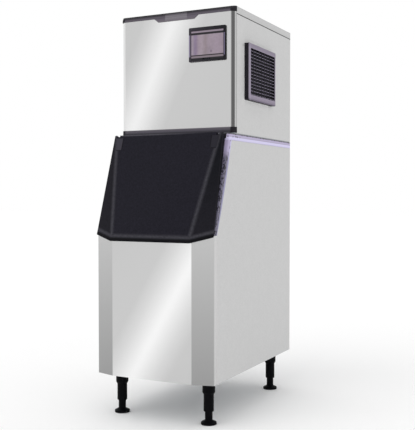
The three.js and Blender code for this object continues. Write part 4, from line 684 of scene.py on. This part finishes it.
# An open sheet that stands on a path in plan, rounded at all its corners
def uprightSheet(path, shape):
    mesh = bmesh.new()
    verts = [mesh.verts.new((x, y, shape["low"])) for x, y in path]
    edges = [mesh.edges.new(pair) for pair in zip(verts, verts[1:])]
    made = bmesh.ops.extrude_edge_only(mesh, edges=edges)
    bmesh.ops.translate(mesh, vec=(0, 0, shape["high"] - shape["low"]), verts=madeVerts(made))

    def standsOn(edge, corner):
        return all((vert.co.xy - corner).length < touching["corner"] for vert in edge.verts)

    corners = [Vector(place) for place in path[1:-1]]
    uprights = [edge for edge in mesh.edges if any(standsOn(edge, corner) for corner in corners)]
    roundEdges(mesh, uprights, shape["corner"], shape["segments"])
    mesh.normal_update()
    front = min(mesh.faces, key=lambda face: face.calc_center_median().y)
    if front.normal.y > 0:
        bmesh.ops.reverse_faces(mesh, faces=mesh.faces)
    return mesh


def cutAt(mesh, point, normal, clear=False):
    bmesh.ops.bisect_plane(mesh, geom=mesh.verts[:] + mesh.edges[:] + mesh.faces[:], dist=touching["cut"],
                           plane_co=point, plane_no=normal, clear_outer=clear)


# A profile of radii and heights turned about an upright axis
def spun(profile, centre, steps=48):
    mesh = bmesh.new()
    verts = [mesh.verts.new((radius, 0, height)) for radius, height in profile]
    edges = [mesh.edges.new(pair) for pair in zip(verts, verts[1:])]
    bmesh.ops.spin(mesh, geom=verts + edges, cent=(0, 0, 0), axis=(0, 0, 1), angle=2 * math.pi, steps=steps,
                   use_merge=True)
    bmesh.ops.remove_doubles(mesh, verts=mesh.verts, dist=touching["spun"])
    bmesh.ops.translate(mesh, vec=centre, verts=mesh.verts)
    bmesh.ops.recalc_face_normals(mesh, faces=mesh.faces)
    return mesh


print("head")

headFront = {
    "side": 280, "front": -657.7, "back": -637.4, "low": 1241.8, "high": 1727.2, "corner": 20, "segments": 12,
    "sheet": 1.2,
    "window": {"left": 70.5, "right": 236.5, "bottom": 1529.5, "top": 1666},
}


# In plan, round the front from one side to the other
def frontPath(shape):
    side, front, back = shape["side"], shape["front"], shape["back"]
    return [(-side, back), (-side, front), (side, front), (side, back)]


def buildHeadFront():
    mesh = uprightSheet(frontPath(headFront), headFront)
    window = headFront["window"]
    for x in (window["left"], window["right"]):
        cutAt(mesh, (x, 0, 0), (1, 0, 0))
    for z in (window["bottom"], window["top"]):
        cutAt(mesh, (0, 0, z), (0, 0, 1))
    centres = [(face, face.calc_center_median()) for face in mesh.faces]
    opening = [face for face, at in centres
               if window["left"] < at.x < window["right"] and window["bottom"] < at.z < window["top"]]
    bmesh.ops.delete(mesh, geom=opening, context="FACES")
    addPiece("headFront", mesh, ["head_front_panel"], headFrontSteel, thickness=headFront["sheet"])


buildHeadFront()

topTrim = {
    "side": 282.3, "front": -660, "back": -637.4, "corner": 20, "segments": 10, "bevel": (0.7, 2),
    # It rises from low in steps, and the last leans back from the front
    "low": 1727.5, "steps": ({"rise": 12.5, "lean": 0}, {"rise": 10, "lean": 9.3}),
    # The tab in its middle hangs down and narrows
    "tab": {"low": 88.5, "high": 112, "bottom": 1711, "top": 1729.5, "thick": 2},
}


def buildTopTrim():
    def inFront(vert):
        return vert.co.y < topTrim["back"] - touching["corner"]

    mesh = bmesh.new()
    top = mesh.faces.new([mesh.verts.new((x, y, topTrim["low"])) for x, y in frontPath(topTrim)])
    for step in topTrim["steps"]:
        made = bmesh.ops.extrude_face_region(mesh, geom=[top, *top.edges])
        top = next(item for item in made["geom"] if isinstance(item, bmesh.types.BMFace))
        bmesh.ops.translate(mesh, vec=(0, 0, step["rise"]), verts=top.verts)
        bmesh.ops.translate(mesh, vec=(0, step["lean"], 0), verts=[vert for vert in top.verts if inFront(vert)])
    bmesh.ops.recalc_face_normals(mesh, faces=mesh.faces)
    turning = [edge for edge in mesh.edges
               if edge.verts[0].co.z != edge.verts[1].co.z and inFront(edge.verts[0])]
    roundEdges(mesh, turning, topTrim["corner"], topTrim["segments"])
    tab = topTrim["tab"]
    outline = [(-tab["low"], tab["bottom"]), (tab["low"], tab["bottom"]), (tab["high"], tab["top"]),
               (-tab["high"], tab["top"])]
    face = mesh.faces.new([mesh.verts.new((x, topTrim["front"], z)) for x, z in outline])
    made = bmesh.ops.extrude_face_region(mesh, geom=[face])
    bmesh.ops.translate(mesh, vec=(0, tab["thick"], 0), verts=madeVerts(made))
    bmesh.ops.recalc_face_normals(mesh, faces=mesh.faces)
    addPiece("topTrim", mesh, ["top_trim"], topTrimFinish, bevel=topTrim["bevel"])


buildTopTrim()

baseTrim = {
    "side": 282.3, "front": -660, "back": -637.4, "low": 1217, "high": 1241.5, "corner": 22, "segments": 12,
    "thick": 3.5, "bevel": (1.2, 3),
}
addPiece("baseTrim", uprightSheet(frontPath(baseTrim), baseTrim), ["base_trim"], baseTrimFinish,
         thickness=baseTrim["thick"], bevel=baseTrim["bevel"])

# Widths and segments of the rounded edges
headEdges = {
    "head_side_panel_left": (0.5, 2), "head_side_panel_right": (0.5, 2), "window_bezel": (1.0, 2),
    "window_cover": (0.8, 2), "intake_grille": (0.5, 2),
}
softened("head_top_cover", (2.0, 3), lidSteel)
for node, bevel in headEdges.items():
    softened(node, bevel)

print("bin")

binFront = {
    "side": 280, "back": -827.3, "shoulder": -850, "ridge": 189.7, "front": -877.5, "low": 184, "high": 789.7,
    "corner": 3, "segments": 4, "sheet": 1.2, "sharp": 20,
}


def buildBinFront():
    side, back, shoulder = binFront["side"], binFront["back"], binFront["shoulder"]
    ridge, front = binFront["ridge"], binFront["front"]
    path = [(-side, back), (-side, shoulder), (-ridge, front), (ridge, front), (side, shoulder), (side, back)]
    mesh = uprightSheet(path, binFront)
    tilt = underside["tilt"]
    cutAt(mesh, (0, underside["y"], underside["z"]), (0, -math.sin(tilt), math.cos(tilt)), True)
    addPiece("binFront", mesh, ["bin_front_panel"], binFrontSteel, thickness=binFront["sheet"],
             sharp=binFront["sharp"])


buildBinFront()

binEdges = {
    "bin_side_panel_left": (0.5, 2), "bin_side_panel_right": (0.5, 2), "rim_left": (2.0, 3),
    "rim_right": (2.0, 3), "rim_header": (1.5, 3), "rim_sill": (2.0, 3), "door_shell": (1.5, 3),
    "door_liner": (2.0, 3), "hinge_cap_left": (0.6, 2), "hinge_cap_right": (0.6, 2), "bin_liner": (3.0, 3),
}
for node, bevel in binEdges.items():
    softened(node, bevel)

# Radii and heights of the leg with its tube, and of the foot that screws into it
leg = {
    "profile": [
        (0, 130), (8.5, 130), (8.5, 55), (21.5, 55), (21.5, 125.7), (27, 134.7), (27, 185.2), (0, 185.2)],
    "foot": [(0, 0), (33, 0), (33, 9), (16, 18), (16, 54.7), (8, 54.7), (8, 104.7), (0, 104.7)],
    "across": 212.6,
    "along": {"front": -766, "back": -90},
    "bevel": (1.2, 3), "sharp": 25,
}
for place, y in leg["along"].items():
    for word, side in (("left", -1), ("right", 1)):
        centre = (side * leg["across"], y, 0)
        name = place.capitalize() + word.capitalize()
        edges = {"bevel": leg["bevel"], "sharp": leg["sharp"]}
        addPiece("leg" + name, spun(leg["profile"], centre), [f"leg_{place}_{word}"], **edges)
        addPiece("foot" + name, spun(leg["foot"], centre), [f"foot_{place}_{word}"], **edges)

print("other nodes")
for node, cadObject in frame["nodes"].items():
    for slot in cadObject.material_slots:
        slot.link = "OBJECT"
        slot.material = finishes[nodeSlot[node]].material

print("stage")

# Places and the floor's half width are in metres, turns in degrees
studio = {
    "floor": 30,
    # The sky is a little brighter where it is seen straight, mirrored or through the cover
    "sky": {"around": 0.9, "seen": 0.1, "rays": ("Is Camera Ray", "Is Glossy Ray", "Is Transmission Ray")},
    "lamp": {"energy": 0.5, "angle": 50, "turn": (42, 0, -25)},
    "camera": {"at": (1.66925, -3.27137, 0.9598), "turn": (88.45, 0, 26.58), "lens": 66.52, "sensor": 36},
}


def radians(degrees):
    return [math.radians(angle) for angle in degrees]


def buildStage():
    mesh = bmesh.new()
    bmesh.ops.create_grid(mesh, x_segments=2, y_segments=2, size=studio["floor"])
    floor = addMesh("floor", mesh, Finish("paleFloor", grey(255), roughness=0.9, Specular_IOR_Level=0.0))

    world = bpy.data.worlds.new("studio")
    bpy.context.scene.world = world
    world.use_nodes = True
    sky = Nodes(world.node_tree)
    path = sky.tree.nodes.new("ShaderNodeLightPath")
    straight, mirrored, through = [Value(sky, path.outputs[name]) for name in studio["sky"]["rays"]]
    seen = sky.greater(sky.greater(straight, mirrored), through)
    background = sky.tree.nodes["Background"]
    sky.feed((1.0, 1.0, 1.0, 1.0), background.inputs["Color"])
    sky.feed(studio["sky"]["around"] + seen * studio["sky"]["seen"], background.inputs["Strength"])

    lamp = bpy.data.lights.new("key", "SUN")
    lamp.energy = studio["lamp"]["energy"]
    lamp.angle = math.radians(studio["lamp"]["angle"])
    key = addObject("key", lamp)
    key.rotation_euler = radians(studio["lamp"]["turn"])
    key.visible_glossy = False

    view = bpy.data.cameras.new("camera")
    view.lens = studio["camera"]["lens"]
    view.sensor_width = studio["camera"]["sensor"]
    camera = addObject("camera", view)
    camera.location = studio["camera"]["at"]
    camera.rotation_euler = radians(studio["camera"]["turn"])
    bpy.context.scene.camera = camera
    bpy.context.scene.view_settings.view_transform = "Standard"


buildStage()
